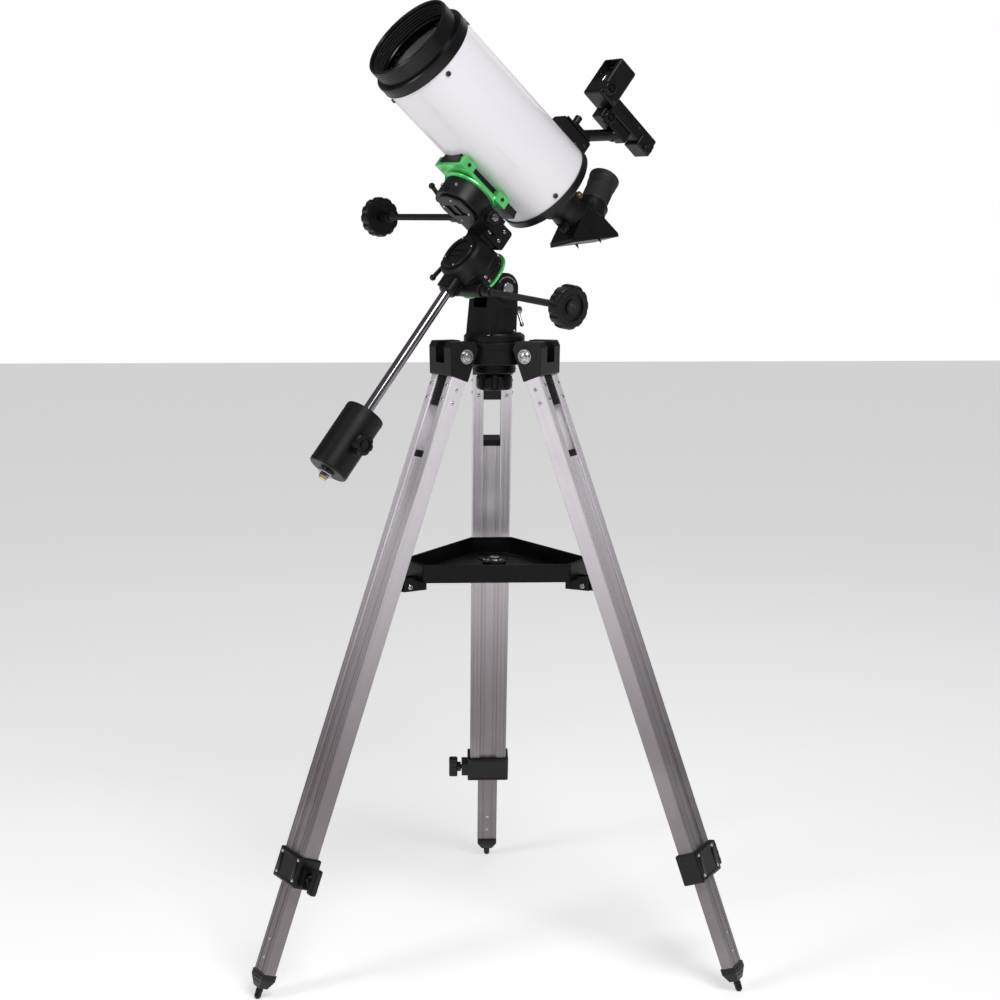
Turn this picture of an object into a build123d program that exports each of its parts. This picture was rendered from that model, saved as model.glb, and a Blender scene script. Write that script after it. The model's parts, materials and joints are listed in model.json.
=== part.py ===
"""Small telescope on an equatorial mount and an aluminium field tripod.

Millimetres, +Z up.  The azimuth axis is vertical and the rear leg points along +Y.
Each piece is built in the frame where it is simplest, and then put in its place:
  leg frame    origin on the leg's hinge, +Z up along the leg, +Y away from the tripod's middle
  column frame origin on the azimuth axis, +X to the mount's south side, +Z up
  mount frame  origin on the latitude pivot, X = polar axis a, Y = lateral c, Z = declination axis b
"""
from build123d import *
from math import cos, radians, sin, sqrt, tan
import os

# ---- fits ----
running_fit = 0.05        # radial clearance of a shaft that turns or slides in its bore
free_gap = 0.3            # gap between two pieces that move past each other
seat = 0.02               # clearance of a piece that is fixed in its seat

# ---- tripod ----
leg_reach = 771.0         # hinge to the toe's tip, along the leg
leg_spread = 20.3         # tilt of each leg from the vertical
hinge_radius = 52.65
leg_azimuths = (90.0, 210.0, 330.0)
leg_width = 48.0
leg_thickness = 19.5
rail_gap = 21.2
groove_depth = 2.7
inner_leg_width = 26.0
inner_leg_thickness = 15.0
rail_top = 27.0           # below the hinge
rail_length = 598.0
inner_leg_top = 125.0     # below the hinge
clamp_height = 36.0
clamp_wall = 3.4
clamp_lap = 27.0          # of the clamp over the rails' lower ends
clamp_knob_span = 30.0
clamp_screw_rise = 15.0   # over the clamp's lower end
screw_radius = 3.0        # of every hand screw
lobe_bite = 0.35          # how far outside a knob's rim its scoops are centred, in scoop radii
toe_radius = 4.0
toe_flat = 0.3            # ground off each rounded toe
toe_length = 14.0
foot_height = 18.0
leg_cap_height = 8.0
cheek_gap = 18.8
tongue_width = 18.0
hinge_pin_radius = 3.5
hub_radius = 38.0
hub_top_rise = 15.0       # of the head's top face over the leg hinges
hub_height = 26.0
head_knob_radius = 21.5
head_knob_height = 18.0
head_screw_radius = 5.0
tray_inradius = 78.0
tray_corner_reach = 112.0
tray_rim = 485.0
tray_height = 20.0
tray_wall = 2.5
tray_tab_length = 16.0
tray_tongue_tip = 122.0   # from the azimuth axis
tray_tongue_width = 9.0

# ---- azimuth column ----
meridian = 34.0           # of the mount's south, from +X
latitude = 40.0
pivot_rise = 61.6         # of the latitude pivot over the head's top face
column_flange_radius = 35.5
column_flange_height = 8.0
column_width = 48.0
cheek_radius = 18.0
cheek_slot = 26.0
pivot_radius = 4.0
tilt_tongue_length = 31.0
tilt_tongue_thickness = 8.0
t_bolt_drop = 27.0        # below the latitude pivot
t_bolt_radius = 3.0
t_bolt_play = 0.8

# ---- polar module ----
circle_radius = 33.0      # green setting circles
circle_height = 3.4
neck_width = 25.0
polar_hub_radius = 12.0
shaft_radius = 8.0
housing_radius = 30.0
polar_circle_low = 19.7
polar_housing_height = 16.0
wheel_radius = 21.3
worm_radius = 6.2
worm_offset = 28.0        # worm axis to wheel axis
worm_bore = 7.0
worm_boss = 8.0
worm_shaft_radius = 4.0
worm_reach = 36.0         # half length of the worm's tunnel
polar_head_height = 24.6
polar_knob_at = (16.0, 181.0, -31.7)
ra_lever_at = (52.0, -8.0)        # along the polar axis, and over it
dec_lever_offset = (8.0, 9.0)     # from the declination axis, and over the housing's foot
worm_rise = 10.2          # of the declination worm over the housing's foot
dec_knob_reach = 210.0
knob_radius = 24.5
knob_height = 15.0
rod_radius = 3.6

# ---- counterweight ----
bar_radius = 6.0
bar_along_polar = 49.5
bar_socket_end = 46.0
bar_end = 300.0
weight_radius = 23.5
weight_length = 80.0
weight_centre = 258.0

# ---- declination module ----
dec_along_polar = 98.0
dec_low = 37.3
dec_height = 22.7
dec_cap_height = 3.3
saddle_low = 65.8
saddle_height = 12.2
saddle_length = 78.0
saddle_half_width = 25.0
saddle_screw_rise = 7.4   # over the saddle's underside
jaw_length = 18.0
dovetail_bottom = 19.0    # half width
dovetail_top = 16.0       # half width
dovetail_start = 40.0
dovetail_length = 102.0

# ---- optical tube ----
optical_axis = 137.0      # above the polar axis, along b
tube_radius = 59.0
tube_wall = 1.6
tube_start = 24.5
tube_length = 214.5
cell_radius = 60.5
rear_cell_height = 10.0
front_cell_height = 12.5
hood_radius = 55.0
hood_length = 20.0
corrector_radius = 51.5
corrector_thickness = 9.0
mirror_radius = 53.0
mirror_thickness = 9.0
mirror_gap = 20.0
baffle_radius = 11.5
baffle_length = 116.0
focus_across = -30.0       # of the focus knob from the optical axis
focus_drop = 20.0
visual_back_radius = 24.0
visual_collar_radius = 20.0
visual_back_length = 50.0
eyepiece_barrel = 15.8
diagonal_leg = 40.0
diagonal_width = 37.0
diagonal_drop = 62.0      # height of the prism housing's front face
diagonal_turn = 14.0      # of the eyepiece from straight up, towards the far side
eyepiece_radius = 16.5
eyepiece_height = 44.0

# ---- derived places ----
spread = radians(leg_spread)
hinge_height = (leg_reach - toe_radius) * cos(spread) + toe_radius - toe_flat
head_top = hinge_height + hub_top_rise
pivot_height = head_top + free_gap + pivot_rise
south = Vector(cos(radians(meridian)), sin(radians(meridian)), 0)
up = Vector(0, 0, 1)
polar = up * sin(radians(latitude)) - south * cos(radians(latitude))
declination = south * sin(radians(latitude)) + up * cos(radians(latitude))
column_frame = Plane(origin=(0, 0, head_top + free_gap), x_dir=south, z_dir=up)
mount_frame = Plane(origin=(0, 0, pivot_height), x_dir=polar, z_dir=declination)
polar_housing_low = polar_circle_low + circle_height + free_gap
polar_housing_top = polar_housing_low + polar_housing_height
polar_head_low = polar_housing_top + free_gap
polar_head_top = polar_head_low + polar_head_height
polar_worm = polar_housing_low + worm_boss
dec_top = dec_low + dec_height
dec_worm_height = dec_low + worm_rise
dec_worm_at = dec_along_polar - worm_offset
dec_circle_low = dec_top + free_gap
saddle_centre = dec_along_polar + 3
dovetail_low = saddle_low + 4 + free_gap
tube_end = tube_start + tube_length
rear_face = tube_start - rear_cell_height


# ---- small builders ----
def rod(start, end, radius):
    """A round bar between two points."""
    start = Vector(start)
    along = Vector(end) - start
    bar = Cylinder(radius, along.length, align=(Align.CENTER, Align.CENTER, Align.MIN))
    return Plane(origin=start, z_dir=along).location * bar


def soft_rod(start, end, radius, edge):
    """A round bar with chamfered ends."""
    bar = rod(start, end, radius)
    return chamfer(bar.edges().filter_by(GeomType.CIRCLE), edge)


def block(low, high):
    """A box between two corners."""
    low = Vector(low)
    high = Vector(high)
    size = high - low
    return Location((low + high) * 0.5) * Box(size.X, size.Y, size.Z)


def soft_block(low, high, edge):
    box = block(low, high)
    return fillet(box.edges(), edge)


def slab(points, plane, low, high):
    """An outline drawn on a plane, extruded between two heights over it."""
    face = plane.offset(low) * make_face(Polyline(*points, close=True))
    return extrude(face, high - low, dir=plane.z_dir)


def turned(profile, plane=Plane.XZ):
    """A half profile of (radius, height) points turned about the vertical."""
    face = plane * make_face(Polyline(*profile, close=True))
    return revolve(face, Axis.Z)


def lobed_knob(radius, height, lobes, scoop):
    """A hand knob on +Z with scalloped edge, a recessed face and rounded rims."""
    body = Cylinder(radius, height, align=(Align.CENTER, Align.CENTER, Align.MIN))
    body = fillet(body.edges().filter_by(GeomType.CIRCLE), height * 0.25)
    for index in range(lobes):
        around = Rot(0, 0, 360 / lobes * index)
        cut = Cylinder(scoop, height * 3)
        body -= around * Pos(radius + scoop * lobe_bite, 0, 0) * cut
    face = Cylinder(radius * 0.62, 2.0, align=(Align.CENTER, Align.CENTER, Align.MAX))
    boss = Cylinder(radius * 0.34, 2.0, align=(Align.CENTER, Align.CENTER, Align.MAX))
    return body - Pos(0, 0, height) * (face - boss)


def gear(radius, low, high, teeth, bore):
    """A worm wheel about Z with simple pointed teeth."""
    points = []
    for index in range(teeth * 2):
        reach = radius if index % 2 else radius - 0.9
        angle = radians(180 / teeth * index)
        points.append((reach * cos(angle), reach * sin(angle)))
    disc = Plane.XY.offset(low) * make_face(Polyline(*points, close=True))
    body = extrude(disc, high - low, dir=(0, 0, 1))
    return body - Pos(0, 0, (low + high) / 2) * Cylinder(bore, (high - low) * 2)


def worm_shaft(reach, threaded):
    """A worm along Z: plain journals and a drum with thread-like rings."""
    profile = [(0, -reach + 6.4), (worm_shaft_radius, -reach + 6.4), (worm_shaft_radius, -threaded)]
    rings = 7
    step = 2 * threaded / rings
    for index in range(rings):
        low = -threaded + index * step
        profile += [(worm_radius - 1.2, low), (worm_radius, low + step * 0.35)]
        profile += [(worm_radius, low + step * 0.65), (worm_radius - 1.2, low + step - 0.01)]
    profile += [(worm_shaft_radius, threaded), (worm_shaft_radius, reach + 1.5), (0, reach + 1.5)]
    return turned(profile)


def slow_motion_knob(start, centre):
    """Ferrule, flexible shaft and lobed knob from the worm's end to the knob's middle."""
    start = Vector(start)
    centre = Vector(centre)
    along = (centre - start).normalized()
    shaft = rod(start, centre, rod_radius)
    bore = rod(start, centre + along, rod_radius + seat)
    ferrule = soft_rod(start, start + along * 13, 6.0, 1.0)
    cuff = soft_rod(centre - along * 24, centre - along * (knob_height / 2 + seat), 6.5, 0.9)
    back = centre - along * (knob_height / 2)
    knob = Plane(origin=back, z_dir=along).location * lobed_knob(knob_radius, knob_height, 12, 4.0)
    return [shaft + ferrule + cuff, knob - bore]


# ---- tripod legs, in the leg frame ----
def leg_frame(azimuth):
    turn = radians(azimuth)
    origin = (hinge_radius * cos(turn), hinge_radius * sin(turn), hinge_height)
    along = (-sin(spread) * cos(turn), -sin(spread) * sin(turn), cos(spread))
    return Plane(origin=origin, x_dir=(sin(turn), -cos(turn), 0), z_dir=along)


half = leg_thickness / 2
rail_bottom = rail_top + rail_length
clamp_top = rail_bottom - clamp_lap
clamp_bottom = clamp_top + clamp_height
inner_leg_bottom = leg_reach - toe_length - foot_height
side = Plane.YZ


def leg_bracket():
    """The casting at the leg's top: two cheeks round the head's tongue and an insert between the rails."""
    outline = [(-12, -rail_top), (half + 2.4, -rail_top), (24, 3), (23, 10), (-5, 20), (-12, 13)]
    body = slab(outline, side, -leg_width / 2, leg_width / 2)
    body = fillet(body.edges().filter_by(Axis.X), 1.8)
    slot = slab([(-40, -14), (40, -14), (40, 40), (-40, 40)], side, -cheek_gap / 2, cheek_gap / 2)
    insert = block((-rail_gap / 2 + seat, -7.4, -62), (rail_gap / 2 - seat, 7.4, -rail_top + 1))
    pin = rod((-40, 0, 0), (40, 0, 0), hinge_pin_radius + running_fit)
    return body - slot + insert - pin


def tray_tongue():
    """The plate that reaches from the leg to the tray's corner, built upright and cut at the leg."""
    low = tray_rim - tray_height - 12
    drop = hinge_height - low
    reach = hinge_radius + drop * tan(spread)
    half_width = tray_tongue_width / 2
    upright = block((-half_width, tray_tongue_tip, low), (half_width, reach, low + 11))
    leg_side = rail_gap / 2 - seat
    upright += block((-leg_side, reach - 14, low - 3), (leg_side, reach + 4, low + 14))
    placed = leg_frame(90).location.inverse() * upright
    behind = block((-60, -8.0, -400), (60, 60, -100))
    return placed - behind


def leg_rails():
    """Two grooved aluminium extrusions that face each other across the gap."""
    edge = leg_width / 2
    rail = block((rail_gap / 2, -half, -rail_bottom), (edge, half, -rail_top))
    rail = fillet(rail.edges().filter_by(Axis.Z), 1.6)
    tongue_room = inner_leg_thickness / 2 + free_gap
    deep = inner_leg_width / 2 + free_gap
    groove = block((0, -tongue_room, -rail_bottom - 1), (deep, tongue_room, -rail_top + 1))
    rail -= groove
    middle = (rail_gap / 2 + edge) / 2 + 0.6
    for face in (-half, half):
        for offset in (-2.6, 2.6):
            line = Box(0.9, 1.2, rail_length * 2)
            rail -= Pos(middle + offset, face, -rail_top - rail_length / 2) * line
    return [rail, mirror(rail, Plane.YZ)]


def leg_clamp():
    """The plastic collar that closes the rails' ends and guides the inner leg."""
    wide = leg_width / 2 + clamp_wall
    deep = half + clamp_wall
    body = soft_block((-wide, -deep, -clamp_bottom), (wide, deep, -clamp_top), 2.0)
    boss = block((-wide - 8, -8, -clamp_bottom + 4), (-wide + 2, 8, -clamp_bottom + 26))
    body += fillet(boss.edges().filter_by(Axis.X), 3.0)
    pocket_width = leg_width / 2 + seat
    pocket = block((-pocket_width, -half - seat, -rail_bottom), (pocket_width, half + seat, 0))
    across = inner_leg_width / 2 + free_gap
    through = inner_leg_thickness / 2 + free_gap
    window = block((-across, -through, -clamp_bottom - 5), (across, through, 0))
    screw_height = -clamp_bottom + clamp_screw_rise
    screw = rod((-wide - 20, 0, screw_height), (-pocket_width, 0, screw_height), screw_radius + running_fit)
    return body - pocket - window - screw


def clamp_knob():
    """A T-handled screw in the clamp's boss."""
    wide = leg_width / 2 + clamp_wall + 8
    height = -clamp_bottom + clamp_screw_rise
    tip = -leg_width / 2 - free_gap - seat
    screw = rod((tip, 0, height), (-wide - 12, 0, height), screw_radius)
    collar = soft_rod((-wide - 6, 0, height), (-wide - 1, 0, height), 6.5, 0.8)
    span = clamp_knob_span / 2
    handle = soft_block((-wide - 17, -4, height - span), (-wide - 5.5, 4, height + span), 2.2)
    return screw + collar + handle


def inner_leg():
    """The sliding extrusion with shallow tracks on both faces."""
    across = inner_leg_width / 2
    through = inner_leg_thickness / 2
    bar = block((-across, -through, -inner_leg_bottom), (across, through, -inner_leg_top))
    bar = fillet(bar.edges().filter_by(Axis.Z), 1.0)
    for face in (-through, through):
        for offset in (-6, 6):
            line = Box(1.4, 1.4, leg_reach * 2)
            bar -= Pos(offset, face, -leg_reach / 2) * line
    return bar


def leg_ends():
    """The cap on the inner leg's top, and the foot with its rounded toe."""
    across = inner_leg_width / 2
    through = inner_leg_thickness / 2
    cap_low = -inner_leg_top
    cap = block((-across + 2.8, -through, cap_low), (across - 2.8, through, cap_low + leg_cap_height))
    low = -inner_leg_bottom - foot_height
    top = Plane.XY.offset(-inner_leg_bottom) * Rectangle(inner_leg_width, inner_leg_thickness + 3)
    mid = Plane.XY.offset(-inner_leg_bottom - 7) * Rectangle(inner_leg_width, inner_leg_thickness + 3)
    bottom = Plane.XY.offset(low) * Rectangle(14, 11)
    foot = loft([top.face(), mid.face()]) + loft([mid.face(), bottom.face()])
    toe = rod((0, 0, low + 0.5), (0, 0, -leg_reach + toe_radius), toe_radius)
    toe += Pos(0, 0, -leg_reach + toe_radius) * Sphere(toe_radius)
    ground = Pos(0, 0, -leg_reach + toe_radius) * Rot(-leg_spread, 0, 0)
    ground *= Pos(0, 0, toe_flat - toe_radius - 5) * Box(30, 30, 10)
    return [cap, foot + toe - ground]


# ---- tripod head and tray, in the model frame ----
def head_casting():
    """The hub with three tongues that carry the legs."""
    bottom = head_top - hub_height
    hub = rod((0, 0, bottom), (0, 0, head_top), hub_radius)
    hub = fillet(hub.edges().filter_by(GeomType.CIRCLE), 1.5)
    hub += soft_rod((0, 0, bottom - 11), (0, 0, bottom + 2), 25.0, 1.0)
    for azimuth in leg_azimuths:
        low = hinge_height - 10.5
        width = tongue_width / 2
        tongue = block((20, -width, low), (hinge_radius, width, low + 21))
        tongue += rod((hinge_radius, -width, hinge_height), (hinge_radius, width, hinge_height), 10.5)
        tongue -= rod((hinge_radius, -50, hinge_height), (hinge_radius, 50, hinge_height),
                      hinge_pin_radius + seat)
        hub += Rot(0, 0, azimuth) * tongue
    return hub - rod((0, 0, 0), (0, 0, head_top + 5), head_screw_radius + running_fit)


def pivot_bolts():
    """One bolt through each leg's cheeks and tongue, with a domed head and a nut."""
    reach = leg_width / 2 + free_gap
    bolts = []
    for azimuth in leg_azimuths:
        bolt = rod((hinge_radius, -reach, hinge_height), (hinge_radius, reach, hinge_height), hinge_pin_radius)
        for way in (-1, 1):
            start = (hinge_radius, way * reach, hinge_height)
            end = (hinge_radius, way * (reach + 3.6), hinge_height)
            bolt += soft_rod(start, end, 6.6, 0.9)
        bolts.append(Rot(0, 0, azimuth) * bolt)
    return bolts


def head_knob():
    """The knob under the head, with the threaded rod that holds the column down."""
    top = head_top - hub_height - 11 - free_gap
    knob = lobed_knob(head_knob_radius, head_knob_height, 8, 5.0)
    knob = Pos(0, 0, top - 1.5) * Rot(180, 0, 0) * knob
    collar = rod((0, 0, top - 3), (0, 0, top), 12)
    return knob + collar + rod((0, 0, top - 2), (0, 0, head_top + 11), head_screw_radius)


def tray_outline(inset):
    """A triangle whose corners are cut off square to the legs."""
    points = []
    reach = tray_corner_reach - inset
    across = (tray_inradius - inset - reach * 0.5) / sin(radians(60))
    for azimuth in leg_azimuths:
        turn = radians(azimuth)
        for way in (-1, 1):
            x = reach * cos(turn) - way * across * sin(turn)
            y = reach * sin(turn) + way * across * cos(turn)
            points.append((x, y))
    return points


def tray():
    """The accessory tray with a raised rim, three eyepiece holes and two tabs at each corner."""
    low = tray_rim - tray_height
    body = slab(tray_outline(0), Plane.XY, low, tray_rim)
    body = fillet(body.edges().filter_by(Axis.Z), 5.0)
    body -= slab(tray_outline(tray_wall), Plane.XY, low + tray_wall, tray_rim + 5)
    body += soft_rod((0, 0, low - 4), (0, 0, low + 12), 14, 1.0)
    body -= rod((0, 0, low - 9), (0, 0, low + 30), 4.0)
    inner = tray_tongue_width / 2 + free_gap + 0.2
    for azimuth in leg_azimuths:
        place = Rot(0, 0, azimuth)
        for way in (-1, 1):
            near = min(way * inner, way * (inner + 3))
            far = max(way * inner, way * (inner + 3))
            tab = block((tray_corner_reach - 2, near, low - 12), (tray_corner_reach + tray_tab_length, far, low + 4))
            tab += block((tray_corner_reach - 14, near, low - 12), (tray_corner_reach, far, low + 1))
            body += place * tab
        body -= place * Pos(tray_corner_reach * 0.56, 0, low) * Cylinder(16.2, 12)
    return body


# ---- column, in the column frame ----
def azimuth_column():
    """The flange that turns on the head, the tapering pillar and its two round cheeks."""
    flange = rod((0, 0, 0), (0, 0, column_flange_height), column_flange_radius)
    flange = chamfer(flange.edges().group_by(Axis.Z)[-1], 1.5)
    wide = column_width / 2
    outline = [(-25, 4), (15, 4), (cheek_radius, pivot_rise), (-cheek_radius, pivot_rise)]
    pillar = slab(outline, Plane.XZ, -wide, wide)
    pillar += rod((0, -wide, pivot_rise), (0, wide, pivot_rise), cheek_radius)
    pillar = chamfer(pillar.faces().sort_by(Axis.Y)[0].edges(), 1.2)
    pillar = chamfer(pillar.faces().sort_by(Axis.Y)[-1].edges(), 1.2)
    slot = cheek_slot / 2
    floor = pivot_rise - tilt_tongue_length - 3
    pillar -= block((-60, -slot, pivot_rise - 22), (60, slot, pivot_rise + 30))
    pillar -= block((-17.5, -slot, floor), (13.5, slot, pivot_rise))
    pillar -= rod((0, -50, pivot_rise), (0, 50, pivot_rise), pivot_radius + running_fit)
    bolt_height = pivot_rise - t_bolt_drop
    pillar -= rod((5, 0, bolt_height), (40, 0, bolt_height), t_bolt_radius + running_fit)
    screw = rod((0, 0, -2), (0, 0, 14), head_screw_radius + running_fit)
    plate = rod((0, -wide - 1.2, pivot_rise), (0, -wide, pivot_rise), cheek_radius - 2.5)
    plate -= rod((0, -50, pivot_rise), (0, 50, pivot_rise), pivot_radius + running_fit)
    return flange + pillar + plate - screw


def tilt_lock():
    """The bolt through the cheeks, with a domed head and a locking lever on the far side."""
    wide = column_width / 2 + free_gap
    bolt = rod((0, -wide - 1.4, pivot_rise), (0, wide, pivot_rise), pivot_radius)
    bolt += soft_rod((0, -wide - 5, pivot_rise), (0, -wide - 1.4, pivot_rise), 7, 1.0)
    bolt += soft_rod((0, wide, pivot_rise), (0, wide + 9, pivot_rise), 8, 1.2)
    arm = rod((0, wide + 5.5, pivot_rise), (24, wide + 11, pivot_rise - 20), 3.2)
    arm += Pos(24, wide + 11, pivot_rise - 20) * Sphere(4.6)
    return bolt + arm


def t_bolt():
    """The latitude adjusting screw with a bar through its head."""
    height = pivot_rise - t_bolt_drop
    tip = tilt_tongue_thickness / 2 + t_bolt_play
    screw = rod((tip, 0, height), (36, 0, height), t_bolt_radius)
    head = soft_rod((30, 0, height), (38, 0, height), 4.8, 0.8)
    low = Vector(34, -8.5, height - 16.5)
    high = Vector(34, 8.5, height + 16.5)
    bar = rod(low, high, 1.8) + Location(low) * Sphere(2.6) + Location(high) * Sphere(2.6)
    return screw + head + bar


# ---- polar module, in the mount frame ----
def tilt_bracket():
    """The piece between the cheeks that carries the polar axis and is pushed by the T-bolt."""
    wide = neck_width / 2
    hub = rod((0, -wide, 0), (0, wide, 0), 15)
    neck = block((0, -wide, -15), (polar_circle_low - 1.2, wide, 15))
    sleeve = rod((10, 0, 0), (polar_housing_low, 0, 0), polar_hub_radius)
    thick = tilt_tongue_thickness / 2
    tongue = block((-thick, -9, -tilt_tongue_length), (thick, 9, 0))
    body = hub + neck + sleeve + Rot(0, latitude, 0) * tongue
    body -= rod((0, -50, 0), (0, 50, 0), pivot_radius + running_fit)
    return body - rod((7, 0, 0), (50, 0, 0), shaft_radius + running_fit)


def setting_circle(low, bore):
    """A green anodised ring with a bevelled edge, built about Z."""
    top = low + circle_height
    profile = [(bore, low), (circle_radius - 3, low), (circle_radius, low + 1.4)]
    profile += [(circle_radius, top - 0.5), (circle_radius - 0.5, top), (bore, top)]
    return turned(profile)


def worm_tunnel(along, offset, way):
    """The round boss of a worm and the bore inside it, open towards `way` on the lateral axis."""
    boss = soft_rod((along, way * (4 - worm_reach), offset), (along, way * worm_reach, offset), worm_boss, 0.8)
    bore = rod((along, -26, offset), (along, 26, offset), worm_bore)
    journal = worm_shaft_radius + running_fit
    bore += rod((along, way * (5 - worm_reach), offset), (along, way * (worm_reach + 2), offset), journal)
    return boss, bore


def ra_housing():
    """The fixed polar housing: the wheel's chamber and the worm's tunnel."""
    shell = rod((polar_housing_low, 0, 0), (polar_housing_top, 0, 0), housing_radius)
    shell = chamfer(shell.edges().filter_by(GeomType.CIRCLE), 1.0)
    boss, bore = worm_tunnel(polar_worm, -worm_offset, 1)
    chamber = rod((polar_housing_low + 3, 0, 0), (polar_housing_top + 1, 0, 0), wheel_radius + 0.8)
    sleeve = rod((polar_housing_low - 1, 0, 0), (50, 0, 0), shaft_radius + running_fit)
    return shell + boss - bore - chamber - sleeve


def polar_shaft():
    profile_end = polar_head_low + 10
    shaft = rod((8, 0, 0), (profile_end, 0, 0), shaft_radius)
    return shaft + rod((polar_housing_top - 3.4, 0, 0), (polar_housing_top - 0.6, 0, 0), 13)


def ra_head():
    """The turning polar head: a round casting with the bar's socket and a recessed octagonal cap."""
    body = rod((polar_head_low, 0, 0), (polar_head_top, 0, 0), housing_radius)
    body = chamfer(body.edges().filter_by(GeomType.CIRCLE).sort_by(Axis.X)[-1], 3.0)
    body += block((polar_head_low, -9, -bar_socket_end + 2), (polar_head_top - 4, 9, 0))
    socket = rod((bar_along_polar, 0, -bar_socket_end), (bar_along_polar, 0, -10), 10.6)
    body += chamfer(socket.edges().group_by(Axis.Z)[0], 1.0)
    cap = rod((polar_head_top - 1, 0, 0), (polar_head_top + 3, 0, 0), 23)
    body += chamfer(cap.edges().group_by(Axis.X)[-1], 1.2)
    octagon = Plane.YZ.offset(polar_head_top + 1.2) * RegularPolygon(17, 8)
    body -= extrude(octagon, 5, dir=(1, 0, 0))
    for offset in (-4, 4):
        body += block((polar_head_top, -11, offset - 1.6), (polar_head_top + 2.4, 11, offset + 1.6))
    keep_out = rod((0, 0, 0), (polar_head_low, 0, 0), housing_radius * 2.2)
    body -= keep_out
    body -= rod((bar_along_polar, 0, -80), (bar_along_polar, 0, -32), bar_radius + seat)
    body -= rod((0, 0, 0), (polar_head_low + 10, 0, 0), shaft_radius + seat)
    along, over = ra_lever_at
    lever_hole = rod((along, -60, over), (along, -22, over), screw_radius + running_fit)
    return body - lever_hole


def lock_lever(base, out, swing):
    """A locking screw along `out` with a short arm towards `swing`."""
    base = Vector(base)
    out = Vector(out)
    swing = Vector(swing)
    lever = rod(base - out * 7, base + out * 5, 3.0)
    lever += soft_rod(base + out * 0.4, base + out * 8, 5.4, 0.9)
    tip = base + out * 12 + swing * 20
    lever += rod(base + out * 5, tip, 2.6)
    return lever + Location(tip) * Sphere(3.8)


def counterweight_bar():
    """The bar with its safety washer and screw on the end."""
    at = bar_along_polar
    bar = rod((at, 0, -bar_end), (at, 0, -32), bar_radius)
    washer = soft_rod((at, 0, -bar_end - 3.0), (at, 0, -bar_end), 9.5, 0.8)
    return bar + washer + soft_rod((at, 0, -bar_end - 7.5), (at, 0, -bar_end - 2.8), 5.5, 1.0)


def counterweight():
    at = bar_along_polar
    low = -weight_centre - weight_length / 2
    high = -weight_centre + weight_length / 2
    body = rod((at, 0, low), (at, 0, high), weight_radius)
    body = fillet(body.edges().filter_by(GeomType.CIRCLE), 2.5)
    body -= rod((at, 0, low - 5), (at, 0, high + 5), bar_radius + running_fit)
    return body - rod((at, 9, -weight_centre), (at, 60, -weight_centre), 3 + running_fit)


def counterweight_knob():
    at = bar_along_polar
    face = weight_radius + 2.5
    screw = rod((at, 9.5, -weight_centre), (at, face + 4, -weight_centre), 3)
    collar = soft_rod((at, weight_radius + 0.5, -weight_centre), (at, face + 3, -weight_centre), 6, 0.8)
    place = Plane(origin=(at, face + 2, -weight_centre), z_dir=(0, 1, 0)).location
    return screw + collar + place * lobed_knob(12.5, 10, 7, 3.4)


# ---- declination module, in the mount frame ----
def link_bracket():
    """The arm from the polar head up to the declination housing."""
    arm = block((29, -17, housing_radius + 0.6), (62, 17, 57))
    arm = fillet(arm.edges().filter_by(Axis.Y), 4.0)
    foot = block((polar_head_low, -15, 20), (62, 15, 40))
    arm += foot
    arm -= rod((polar_head_low - 0.01, 0, 0), (90, 0, 0), housing_radius)
    return arm - block((50, -40, dec_low), (130, 40, 90))


def dec_housing():
    """The declination housing with its worm block, closed by a cap with a square recess."""
    centre = dec_along_polar
    shell = rod((centre, 0, dec_low), (centre, 0, dec_top), housing_radius)
    shell = chamfer(shell.edges().filter_by(GeomType.CIRCLE), 1.0)
    shell += block((50, -24, dec_low), (centre - 10, 24, dec_top - 2))
    boss, bore = worm_tunnel(dec_worm_at, dec_worm_height, -1)
    shell += boss
    chamber = rod((centre, 0, dec_low - 1), (centre, 0, dec_top - 5), wheel_radius + 0.8)
    sleeve = rod((centre, 0, 0), (centre, 0, 90), shaft_radius + running_fit)
    at, height = centre + dec_lever_offset[0], dec_low + dec_lever_offset[1]
    lever = rod((at, -60, height), (at, -22.6, height), screw_radius + running_fit)
    casting = shell - bore - chamber - sleeve - lever
    plug = rod((centre, 0, dec_low), (centre, 0, dec_low + 3), wheel_radius + 0.8 - seat)
    rim = soft_rod((centre, 0, dec_low - dec_cap_height), (centre, 0, dec_low), 25, 0.9)
    recess = block((centre - 9, -13, 0), (centre + 9, 13, dec_low - dec_cap_height + 2))
    rim -= recess
    rim += block((centre - 9, -2, dec_low - dec_cap_height + 0.6), (centre + 9, 2, dec_low - 1))
    return [casting, plug + rim]


def dec_shaft():
    centre = dec_along_polar
    shaft = rod((centre, 0, dec_low + 3.6), (centre, 0, saddle_low), shaft_radius)
    return shaft + rod((centre, 0, dec_low + 3.6), (centre, 0, dec_low + 5.6), 13)


def dovetail(shrink, low, high, start, end):
    """The wedge-shaped rail's body between two stations."""
    wide = dovetail_bottom - shrink
    slim = dovetail_top - shrink
    outline = [(-wide, low), (wide, low), (slim, low + 8.4), (slim, high), (-slim, high), (-slim, low + 8.4)]
    return slab(outline, Plane.YZ, start, end)


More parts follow.
